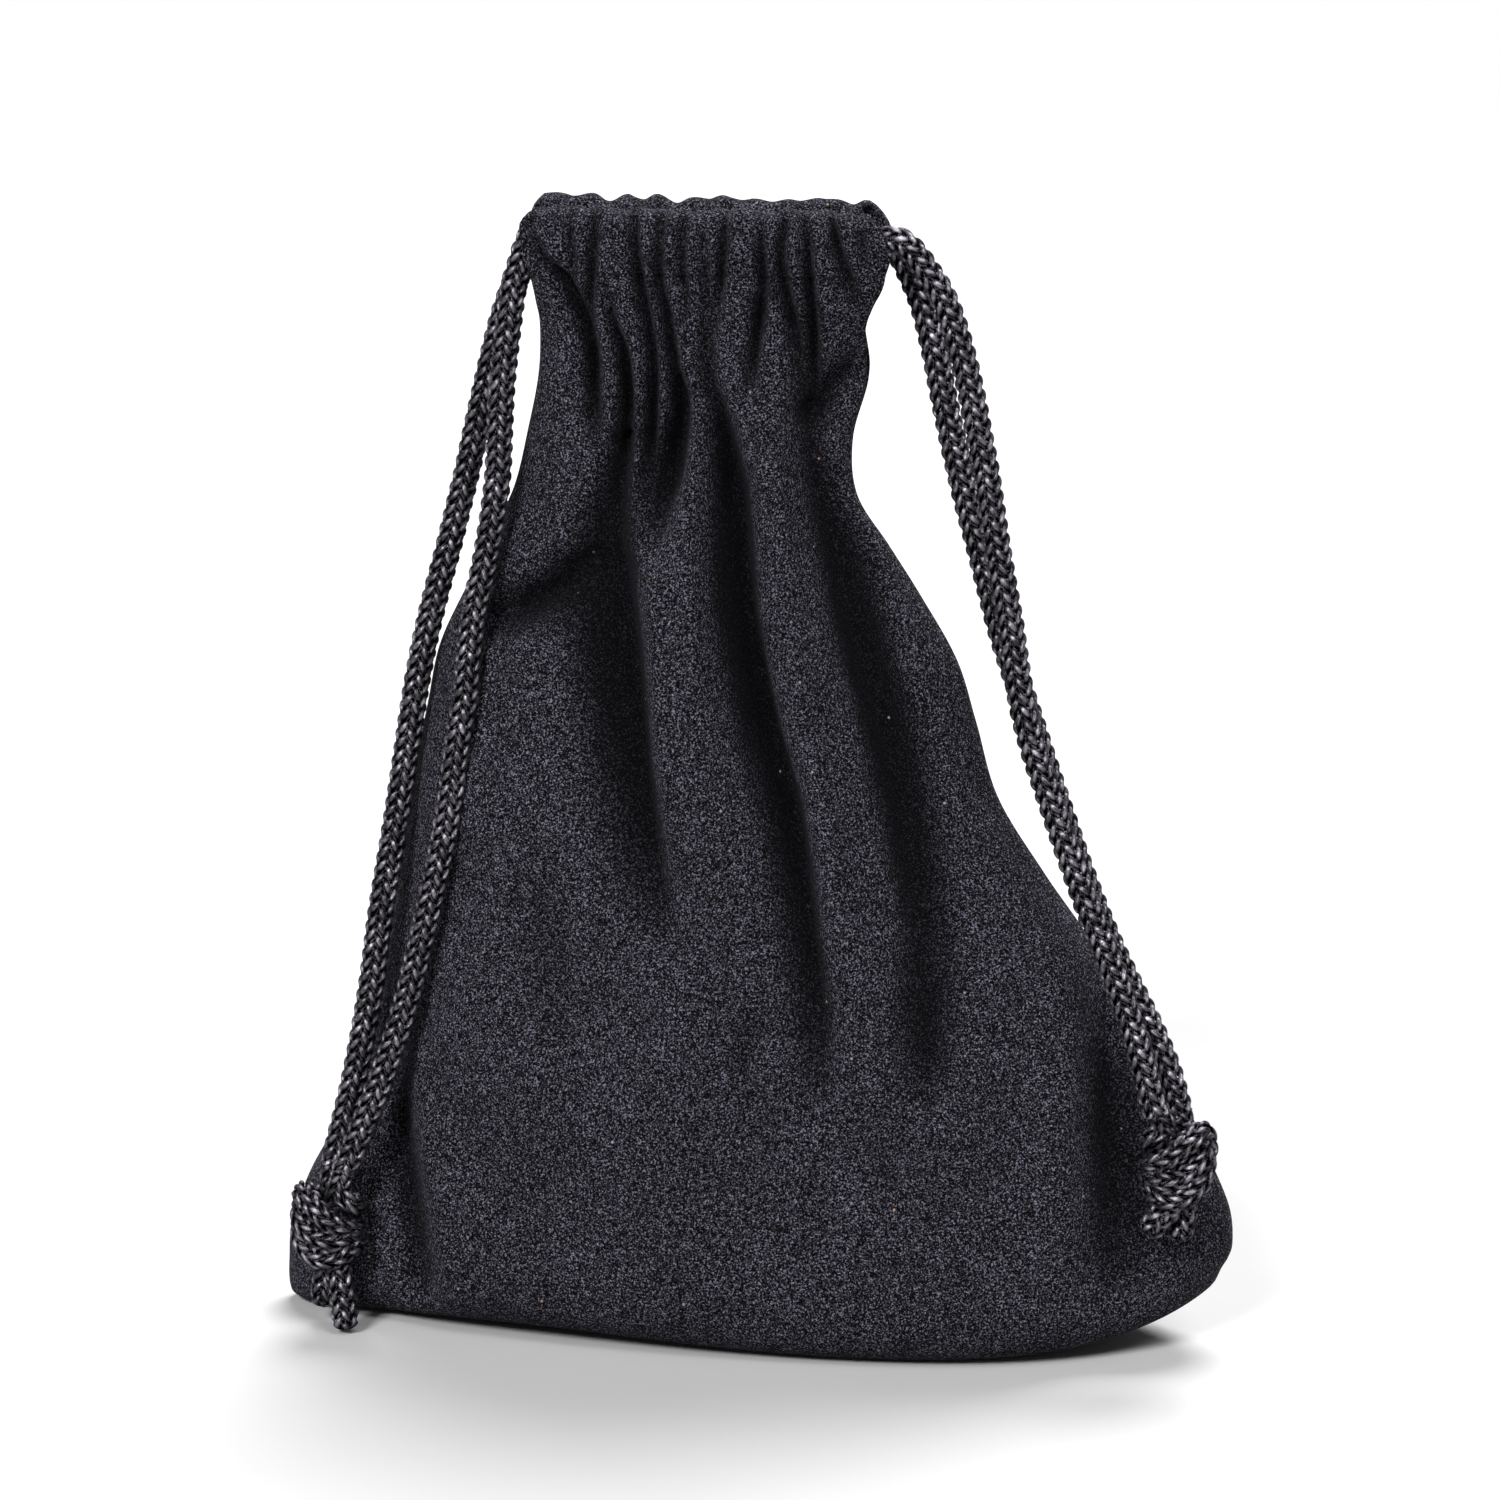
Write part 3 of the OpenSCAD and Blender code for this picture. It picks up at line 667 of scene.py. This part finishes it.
def make_cloth(name, cloth, material):
    """A closed sheet: the outer skin, and the inner skin one cloth thickness under it."""
    outer, crease_shade = cloth.skin()
    inner = outer - sheet_normals(outer, cloth.side) * CLOTH_T
    # The inner skin stays on its own side of the seam and above the ground
    seam_plane = -corner_shift(outer[..., 0], outer[..., 2])
    clear = np.maximum(cloth.side * (inner[..., 1] - seam_plane), LEAST_GAP)
    inner[..., 1] = seam_plane + cloth.side * clear
    inner[..., 2] = np.maximum(inner[..., 2], 0.02)
    rows, columns = outer.shape[:2]
    count = rows * columns
    flip = cloth.side > 0
    faces = grid_faces(rows, columns, 0, flip=flip) + grid_faces(rows, columns, count, flip=not flip)
    border = grid_border(rows, columns)
    for a, b in zip(border, border[1:] + border[:1]):
        quad = [b, a, a + count, b + count]
        faces.append(quad[::-1] if flip else quad)
    obj = make_mesh(name, np.vstack([outer.reshape(-1, 3), inner.reshape(-1, 3)]), faces, material)
    # The painted shade of the creases, on both skins, for the material
    attribute = obj.data.attributes.new("crease_shade", "FLOAT", "POINT")
    attribute.data.foreach_set("value", np.tile(crease_shade.ravel(), 2).astype(np.float32))
    return obj


def make_pouch(cloths, material):
    """The two sheets."""
    for face, cloth in cloths.items():
        shell = make_cloth(f"{face}_cloth", cloth, material)
        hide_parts(f"{face}_panel", f"{face}_casing")
        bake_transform(shell)


# ---------------- the braided cord

CORD_D = 4.0
BRAID_R = 2.25  # over the tops of the stitches
BRAID_COLUMNS = 8
STITCH_PITCH = 2.25
STITCH_SLANT = math.radians(33)
STITCH_HALF_LENGTH = 1.45
STITCH_HALF_WIDTH = 0.62
STITCH_HEIGHT = 0.85
STITCH_LEAN = 0.12  # each stitch is a little higher at the end that comes out on top
END_LENGTH = 1.5  # how far a sealed end is rounded
AROUND = 48  # points round the cord
RING_STEP = 0.22


def braid_height(around, along):
    """Height of the stitches, and each point's place in its own stitch. around is in columns."""
    column_w = math.pi * CORD_D / BRAID_COLUMNS
    best = np.full(around.shape, -1.0)
    place = np.zeros(around.shape + (3,))
    for column_step in (-1, 0, 1):
        column = np.floor(around) + column_step
        even = column % 2 < 1
        lean = np.where(even, 1.0, -1.0)
        across = (around - column - 0.5) * column_w
        level = along / STITCH_PITCH + np.where(even, 0.0, 0.5)
        for level_step in (-1, 0, 1):
            number = np.floor(level) + level_step
            up = (level - number - 0.5) * STITCH_PITCH
            a = up * math.cos(STITCH_SLANT) + lean * across * math.sin(STITCH_SLANT)
            b = across * math.cos(STITCH_SLANT) - lean * up * math.sin(STITCH_SLANT)
            dome = 1 - (a / STITCH_HALF_LENGTH)**2 - (b / STITCH_HALF_WIDTH)**2
            dome = dome + STITCH_LEAN * a / STITCH_HALF_LENGTH
            better = dome > best
            best = np.where(better, dome, best)
            own_number = (column % BRAID_COLUMNS) * 7.3 + number * 3.1
            place = np.where(better[..., None], np.stack([a, b, own_number], axis=-1), place)
    return np.sqrt(np.clip(best, 0, 1)), place


def steady_frames(line):
    """Two vectors square to a line at each of its points, which don't twist round it."""
    tangents = np.gradient(line, axis=0)
    tangents /= np.linalg.norm(tangents, axis=1, keepdims=True)
    side = np.cross(tangents[0], [0.0, 1.0, 0.0])
    side = side / np.linalg.norm(side)
    sides = []
    for t in tangents:
        side = side - t * np.dot(side, t)
        side = side / np.linalg.norm(side)
        sides.append(side)
    sides = np.array(sides)
    return sides, np.cross(tangents, sides)


def rings_round(line, radius):
    """A ring of points round each point of a line. radius has a row for each ring."""
    side, other = steady_frames(line)
    angle = 2 * math.pi * np.arange(radius.shape[1]) / radius.shape[1]
    spokes = np.cos(angle)[None, :, None] * side[:, None] + np.sin(angle)[None, :, None] * other[:, None]
    return line[:, None] + radius[..., None] * spokes


def make_braid(name, line, material, phase=0.0, sealed=False, drawn_in=1.0):
    """A braided cord along a line in millimetres. A sealed cord's last end is rounded."""
    line = even_steps(line, RING_STEP)
    far = way_along(line)
    around = BRAID_COLUMNS * np.arange(AROUND)[None, :] / AROUND + 0 * far[:, None]
    height, place = braid_height(around, far[:, None] + phase + 0 * around)
    radius = drawn_in * (BRAID_R - STITCH_HEIGHT + STITCH_HEIGHT * height)
    if sealed:
        left = np.clip((far[-1] - far) / END_LENGTH, 0, 1)
        radius = radius * np.sqrt(np.clip(1 - (1 - left)**2, 0.02, 1))[:, None]
    points = rings_round(line, radius)
    rows = len(line)
    faces = grid_faces(rows, AROUND, 0, wrap=True)
    everything = np.vstack([points.reshape(-1, 3), line[0][None], line[-1][None]])
    first, last = rows * AROUND, rows * AROUND + 1
    for k in range(AROUND):
        after = (k + 1) % AROUND
        faces.append([first, after, k])
        faces.append([last, (rows - 1) * AROUND + k, (rows - 1) * AROUND + after])
    obj = make_mesh(name, everything, faces, material)
    stitch = np.vstack([place.reshape(-1, 3), place[0, :1], place[-1, :1]])
    attribute = obj.data.attributes.new("stitch", "FLOAT_VECTOR", "POINT")
    attribute.data.foreach_set("vector", stitch.astype(np.float32).ravel())
    return obj


# Cord routes, from where each strand leaves the casing down to its knot
ROUTES = {
    "left_front": [
        [-35.4, -6, 177.4], [-36.6, -6, 175.2], [-37.8, -6.2, 171.6], [-38.8, -6.4, 168.2],
        [-39.4, -6.6, 164.2], [-40.1, -6.9, 158.2], [-40.7, -7.2, 152], [-41, -7.5, 145.6],
        [-41.4, -8, 137], [-43, -8.8, 126], [-45, -10, 115.6], [-45.8, -12, 104], [-47, -12.8, 96],
        [-48.6, -13.8, 83.6], [-51.2, -14.8, 70.8], [-54, -16.2, 58], [-57, -17.8, 47],
        [-60.6, -20, 36.4], [-64.4, -21.8, 26.6]
    ],
    "left_back": [
        [-35.8, 6, 177], [-38, 5.8, 174.4], [-40.2, 5.4, 170.8], [-42, 4.8, 166.6], [-43.4, 4, 162.2],
        [-44.6, 3, 157], [-45.8, 1.8, 151], [-47.1, 0.8, 144.6], [-48.3, -0.1, 138.4],
        [-49.8, -1, 131.8], [-51.3, -2, 125.2], [-53, -3, 118.4], [-54.6, -4.2, 111], [-56, -5.4, 102.6],
        [-57.4, -7, 91.6], [-58.8, -8.8, 80.6], [-60.6, -10.8, 68], [-62, -12.8, 55],
        [-64.2, -15.2, 41], [-67.4, -17.6, 26.6]
    ],
    "right_front": [
        [19.4, -5.6, 176.2], [21.4, -5.9, 176.9], [23.5, -6, 176.3], [25.4, -6.1, 174.5],
        [27.4, -6.3, 171.9], [29.4, -6.5, 168.9], [31, -6.7, 165.4], [32.8, -7, 160], [34.4, -7.3, 153.8],
        [35.7, -7.6, 147.6], [37, -8, 141.4], [38.1, -8.6, 135.2], [39.2, -9.2, 129], [40.4, -9.8, 123],
        [41.6, -10.4, 117], [42.6, -11, 111], [43.8, -11.6, 104.8], [45.6, -12.2, 98.6],
        [47.9, -12.8, 92.4], [50.2, -13.4, 86.2], [52.6, -14, 80], [55, -14.6, 74], [57.6, -15.4, 68],
        [60.2, -16.6, 62], [62.6, -17.8, 56], [64.6, -19.2, 50], [66.8, -20.1, 43]
    ],
    "right_back": [
        [20, 6, 174.6], [21.4, 5.8, 172.6], [22.8, 5.4, 169.9], [24.2, 4.8, 167], [25.4, 4, 163.8],
        [26.9, 3, 158.6], [28.3, 2.2, 152.6], [29.8, 1.4, 146.4], [31.4, 0.4, 140.4], [33.2, -0.8, 134.4],
        [35.2, -2, 128.2], [37.1, -3.2, 122], [39, -4.4, 116], [41.2, -5.4, 110], [43.6, -6.4, 103.8],
        [45.9, -7.4, 97.6], [48.2, -8.2, 91.4], [50.5, -9, 85.4], [52.9, -9.8, 79.2], [55.5, -10.4, 73],
        [58.3, -11.2, 67], [61.6, -12.4, 61], [65, -13.8, 55], [67.8, -15, 49], [69.8, -15.8, 42.6]
    ]
}
# The middle of each knot, and the short ends from inside it to their tips
KNOT_AT = {"left": [-67.3, -20, 17.4], "right": [69.8, -18, 35]}
TAILS = {
    "left_front": [[-65.6, -21.8, 11], [-64.7, -22.4, 7], [-64, -22.8, 0.6]],
    "left_back": [[-68.2, -18, 10.8], [-68.9, -18.1, 7], [-69.3, -18.2, 2.8]],
    "right_front": [[68.6, -20, 28.6], [67.2, -20.6, 26.6], [65.6, -21.2, 24.2]],
    "right_back": [[70.4, -16.4, 28.4], [70.5, -16.8, 25.6], [70.5, -17, 22.2]]
}


def cord_line(name):
    return curve_through(ROUTES[name], 12)


# The turns of each strand in the left knot, from its middle; the right knot mirrors them.
# The front strand goes down through the knot, up at the left, slanting down across the front,
# round the back, and under the bottom of the front. The back strand goes round between the two.
KNOT_TURNS = {
    "front": [
        [1.8, -1, 5.4], [0.8, 0.8, 2], [-1, 1.4, -1.2], [-3.2, 1.6, -1.2], [-4.7, 0.6, 1.4],
        [-4.3, -1.2, 4.8], [-2.2, -3.6, 3.9], [0.6, -4.5, 1.8], [3.2, -3.3, 0.4], [4.4, -0.4, -0.4],
        [3, 3, -0.2], [-0.4, 4.2, 0.6], [-3.7, 2.5, 0.8], [-4.7, -0.4, 0], [-4.1, -2.8, -1.8],
        [-1.8, -4.3, -3.6], [1.4, -4.3, -4], [3.9, -2.4, -2.8], [4.2, 0.8, -2.4], [2.2, 3, -3.2],
        [0.6, 0.6, -4.4], [1, -1.4, -6]
    ],
    "back": [
        [-0.4, 1.8, 5.4], [1.8, -0.4, 4.9], [4, -1.6, 3.4], [4.1, 1.4, 2.6], [1.2, 3.8, 3],
        [-2.6, 2.8, 3.4], [-4.5, 0, 2.4], [-4.3, -2.5, 0.9], [-1.7, -4.1, -0.9], [1.4, -4.4, -1.4],
        [3.7, -2.4, -1.2], [3.4, 1.2, -2.2], [0.8, 2.4, -3.8], [-0.6, 2, -5.6]
    ]
}
# A short piece of cord that fills the middle of the knot
KNOT_CORE = [[0, 0, 3.6], [0.3, 0.2, 0], [0, 0, -3.6]]
KNOT_TIGHT = 0.94  # how tightly the turns are drawn in
KNOT_TALL = 1.14
KNOT_SQUEEZE = 0.86  # the cord is thinner where the knot pulls on it


def through_knot(side, face):
    """The line of one strand through its knot, from inside the strand's end to inside its tail."""
    mirror = np.array([KNOT_TIGHT if side == "left" else -KNOT_TIGHT, KNOT_TIGHT, KNOT_TALL])
    middle = np.array(KNOT_AT[side]) + np.array(KNOT_TURNS[face]) * mirror
    into, out_of = cord_line(f"{side}_{face}")[-3], np.array(TAILS[f"{side}_{face}"][0])
    return curve_through(np.vstack([into, middle, out_of]), 8)


def join_meshes(name, pieces):
    """One object from several."""
    bpy.ops.object.select_all(action="DESELECT")
    for piece in pieces:
        piece.select_set(True)
    bpy.context.view_layer.objects.active = pieces[0]
    bpy.ops.object.join()
    pieces[0].name = name
    pieces[0].data.name = name
    return pieces[0]


SIDES = ("left", "right")
FACES = ("front", "back")


def make_tails(side, material):
    """The two short ends below a knot."""
    tails = []
    for face in FACES:
        which = f"{side}_{face}"
        line = curve_through(TAILS[which], 8)
        tail = make_braid(f"{which}_tail_braid", line, material, phase=1.1, sealed=True)
        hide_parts(f"{which}_tail")
        tails.append(tail)
    return tails


def make_knot(side, material):
    """The turns of both strands, round their core."""
    turns = []
    for face in FACES:
        line = through_knot(side, face)
        turns.append(make_braid(f"{side}_{face}_turns", line, material, phase=0.4, drawn_in=KNOT_SQUEEZE))
    core = np.array(KNOT_AT[side]) + np.array(KNOT_CORE)
    turns.append(make_braid(f"{side}_core", curve_through(core, 8), material, phase=0.9))
    knot = join_meshes(f"{side}_knot_turns", turns)
    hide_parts(f"{side}_knot")
    return knot


def make_strand(side, face, material):
    """One hanging strand."""
    which = f"{side}_{face}"
    line = cord_line(which)
    strand = make_braid(f"{which}_strand_braid", line, material, phase=0.7 if face == "front" else 0.0)
    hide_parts(f"{which}_strand")
    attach(strand, f"{side}_cord")
    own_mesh(strand)


def make_cords(material):
    for side in SIDES:
        tails = make_tails(side, material)
        knot = make_knot(side, material)
        below = [knot] + tails
        for piece in below:
            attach(piece, f"{side}_knot")
        for face in FACES:
            make_strand(side, face, material)


# ---------------- cords inside the casing


RUN_SQUEEZE = 0.74  # the gathers squeeze the cords inside the casing
TURN_BULGE = 4.4  # how far each far turn stands out past its runs

# Each run, from end to end of its casing. Those of the right cord rise towards its exit at the front.
RUNS = {
    "left_front": [[-36, -5.6, 177.2], [-34, -5.2, 177.2], [-31, -5, 177.2], [8.8, -5, 177.2]],
    "left_back": [[-36, 5.6, 177.2], [-34, 5.2, 177.2], [-31, 5, 177.2], [8.8, 5, 177.2]],
    "right_front": [
        [-28.6, -5, 174], [12.4, -5, 174], [15.4, -5, 174.4], [18, -5.3, 175.6], [20.6, -5.8, 176.6]
    ],
    "right_back": [[-28.6, 5, 174], [15, 5, 174], [18, 5.4, 174], [20.6, 5.8, 174]]
}


def turn_line(side):
    """The half ring that joins the front and back runs of one cord at their far end, in millimetres."""
    row, bulge = (-1, TURN_BULGE) if side == "left" else (0, -TURN_BULGE)
    x, y, z = RUNS[f"{side}_front"][row]
    angle = np.linspace(-math.pi / 2, math.pi / 2, 30)
    return np.stack([x + bulge * np.cos(angle), -y * np.sin(angle), z + 0 * angle], axis=1)


def make_inner_cord(name, line, body, phase, material):
    """A piece of cord that the casing hides."""
    piece = make_braid(f"{name}_braid", line, material, phase, drawn_in=RUN_SQUEEZE)
    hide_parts(name)
    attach(piece, body)


def make_inner_cords(material):
    for side in SIDES:
        for face in FACES:
            line = curve_through(RUNS[f"{side}_{face}"], 12)
            make_inner_cord(f"{side}_{face}_run", line, f"{face}_lip", 0.3, material)
        make_inner_cord(f"{side}_far_turn", turn_line(side), "root", 0.5, material)


# ---------------- stitches and seams


STITCH_L = 2.4
STITCH_EVERY = 3.4  # along the hem
HEM_DIP = 0.5  # how far a hem stitch goes into the cloth at its ends
SEAM_DIP = 0.3
THREAD_R = 0.25
THREAD_SIDES = 8
THREAD_STEP = 0.3


def bent_rod(path, radius):
    """Points and faces of a length of thread along a path, narrower at its ends."""
    line = np.asarray(path, float)
    t = np.linspace(-1, 1, len(line))
    size = radius * np.sqrt(np.clip(1 - np.abs(t)**6, 0.03, 1))
    points = rings_round(line, np.tile(size[:, None], THREAD_SIDES)).reshape(-1, 3)
    faces = grid_faces(len(line), THREAD_SIDES, 0, wrap=True)
    faces.append(list(range(THREAD_SIDES))[::-1])
    faces.append([(len(line) - 1) * THREAD_SIDES + k for k in range(THREAD_SIDES)])
    return points, faces


def make_rods(name, paths, radius, material):
    """One object from many lengths of thread."""
    points, faces = [], []
    for path in paths:
        rod_points, rod_faces = bent_rod(path, radius)
        start = sum(len(p) for p in points)
        points.append(rod_points)
        faces += [[start + k for k in face] for face in rod_faces]
    return make_mesh(name, np.vstack(points), faces, material)


def hem_paths(cloth):
    """Short stitches that dip into the cloth at both ends, along the foot of a casing."""
    table = cloth.level_rows()
    outside = np.where(table[:, 6] > 0, np.inf, np.abs(table[:, 0] - HEM_Z))
    row = table[np.argmin(outside)][None]
    left, right = row[0, 1], row[0, 2]
    dip = HEM_DIP * np.linspace(-1, 1, 9)**2
    paths = []
    for start in np.arange(left + 3, right - STITCH_L - 2, STITCH_EVERY):
        x = start + np.linspace(0, STITCH_L, len(dip))
        s = (x - (left + right) / 2) / ((right - left) / 2)
        line = cloth.surface(s, row)[0][0]
        line[:, 1] += cloth.side * (0.05 - dip)
        paths.append(line)
    return paths


def make_hem_stitches(cloths, material):
    for face, cloth in cloths.items():
        obj = make_rods(f"{face}_hem_thread", hem_paths(cloth), THREAD_R, material)
        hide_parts(f"{face}_hem_stitches")
        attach(obj, f"{face}_lip")


SEAM_INSET = 2.9
ALLOWANCE_W = 6.0
ALLOWANCE_T = 0.9
LEFT_EDGE, RIGHT_EDGE = 1, 2


def outline_at(z, column):
    """The pouch's left or right edge at a height, above the rows that lie on the ground."""
    table = np.array(POUCH_ROWS, float)[4:]
    return np.interp(z, table[:, 0], table[:, column])


def side_seam_line(side, inset):
    """Points up one side seam, inside the pouch."""
    low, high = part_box(f"{side}_seam_allowance")
    z = np.linspace(low.z / MM + 0.5, high.z / MM - 0.5, 60)
    x = outline_at(z, LEFT_EDGE) + inset if side == "left" else outline_at(z, RIGHT_EDGE) - inset
    return np.stack([x, 0 * z, z], axis=1)


def make_allowance(name, edge, inward, material):
    """Two raw edges lying together. edge is the seam line, inward the way the edges point."""
    ripple = Ripple(5, 9.0)
    steps = np.linspace(0, 1, 7)
    width = ALLOWANCE_W - 0.4 + 0.25 * np.sin(np.arange(len(edge)) * 0.7)
    border = grid_border(len(edge), len(steps))
    sides = list(zip(border, border[1:] + border[:1]))
    count = len(edge) * len(steps)
    points, faces = [], []
    for layer in (-1, 1):
        middle = edge[:, None] + inward * (steps[None, :, None] * width[:, None, None])
        sway = layer * (ALLOWANCE_T * 0.52 + 0.25 * steps**2) + 0.12 * ripple(middle[..., 2], middle[..., 0])
        for skin in (-1, 1):
            grid = middle.copy()
            grid[..., 1] += sway + skin * ALLOWANCE_T * 0.42
            start = count * len(points)
            points.append(grid.reshape(-1, 3))
            faces += grid_faces(len(edge), len(steps), start, flip=skin < 0)
        first = start - count
        faces += [[first + a, first + b, start + b, start + a] for a, b in sides]
    return make_mesh(name, np.vstack(points), faces, material)


def running_stitches(line, lift):
    """Stitches one after another on both faces of an allowance."""
    line = even_steps(line, THREAD_STEP)
    per_stitch = int(STITCH_L / THREAD_STEP)
    dip = SEAM_DIP * np.linspace(-1, 1, per_stitch)**2
    paths = []
    for face in (-1, 1):
        for start in range(0, len(line) - per_stitch, per_stitch + 2):
            part = line[start:start + per_stitch].copy()
            part[:, 1] += face * (lift - dip)
            paths.append(part)
    return paths


SEAM_THREAD_R = 0.2
SEAM_IN = 2.0  # from the seam line to the stitches
SEAM_LIFT = 1.05  # from the middle of the allowance to the stitches on its faces


def make_seams(cloth_material, thread_material):
    low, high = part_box("bottom_seam_allowance")
    x = np.linspace(low.x, high.x, 60) / MM
    bottom = np.stack([x, 0 * x, 0 * x + low.z / MM], axis=1)
    edges = {
        "left": (side_seam_line("left", SEAM_INSET), np.array([1.0, 0, 0])),
        "right": (side_seam_line("right", SEAM_INSET), np.array([-1.0, 0, 0])),
        "bottom": (bottom, np.array([0, 0, 1.0]))
    }
    for side, (edge, inward) in edges.items():
        allowance = make_allowance(f"{side}_raw_edges", edge, inward, cloth_material)
        stitches = running_stitches(edge + inward * SEAM_IN, SEAM_LIFT)
        thread = make_rods(f"{side}_seam_stitches", stitches, SEAM_THREAD_R, thread_material)
        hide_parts(f"{side}_seam_allowance")
        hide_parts(f"{side}_seam_thread")
        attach(allowance, "root")
        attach(thread, "root")


# ---------------- floor


FLOOR_HALF = 3000.0
FLOOR_DROP = 0.05  # just under the bag


def make_floor(material):
    signs = ((-1, -1), (1, -1), (1, 1), (-1, 1))
    corners = [[x * FLOOR_HALF, y * FLOOR_HALF, -FLOOR_DROP] for x, y in signs]
    floor = make_mesh("floor", corners, [[0, 1, 2, 3]], material, smooth=False)


# ---------------- the scene

bpy.context.scene.view_settings.view_transform = "Standard"
make_camera()
cord_finish = braid("black_braid")
make_cords(cord_finish)
make_inner_cords(cord_finish)

panel_cloth = velveteen("black_velveteen")
thread_finish = sewing_thread("black_thread")
cloths = {
    "front": Cloth(-1, FRONT_FOLDS, FRONT_PLEATS, 11),
    "back": Cloth(1, BACK_FOLDS, back_pleats(), 31)
}
make_pouch(cloths, panel_cloth)
make_hem_stitches(cloths, thread_finish)
make_seams(panel_cloth, thread_finish)
make_floor(paper("white_paper"))
make_lights()

bpy.context.view_layer.update()
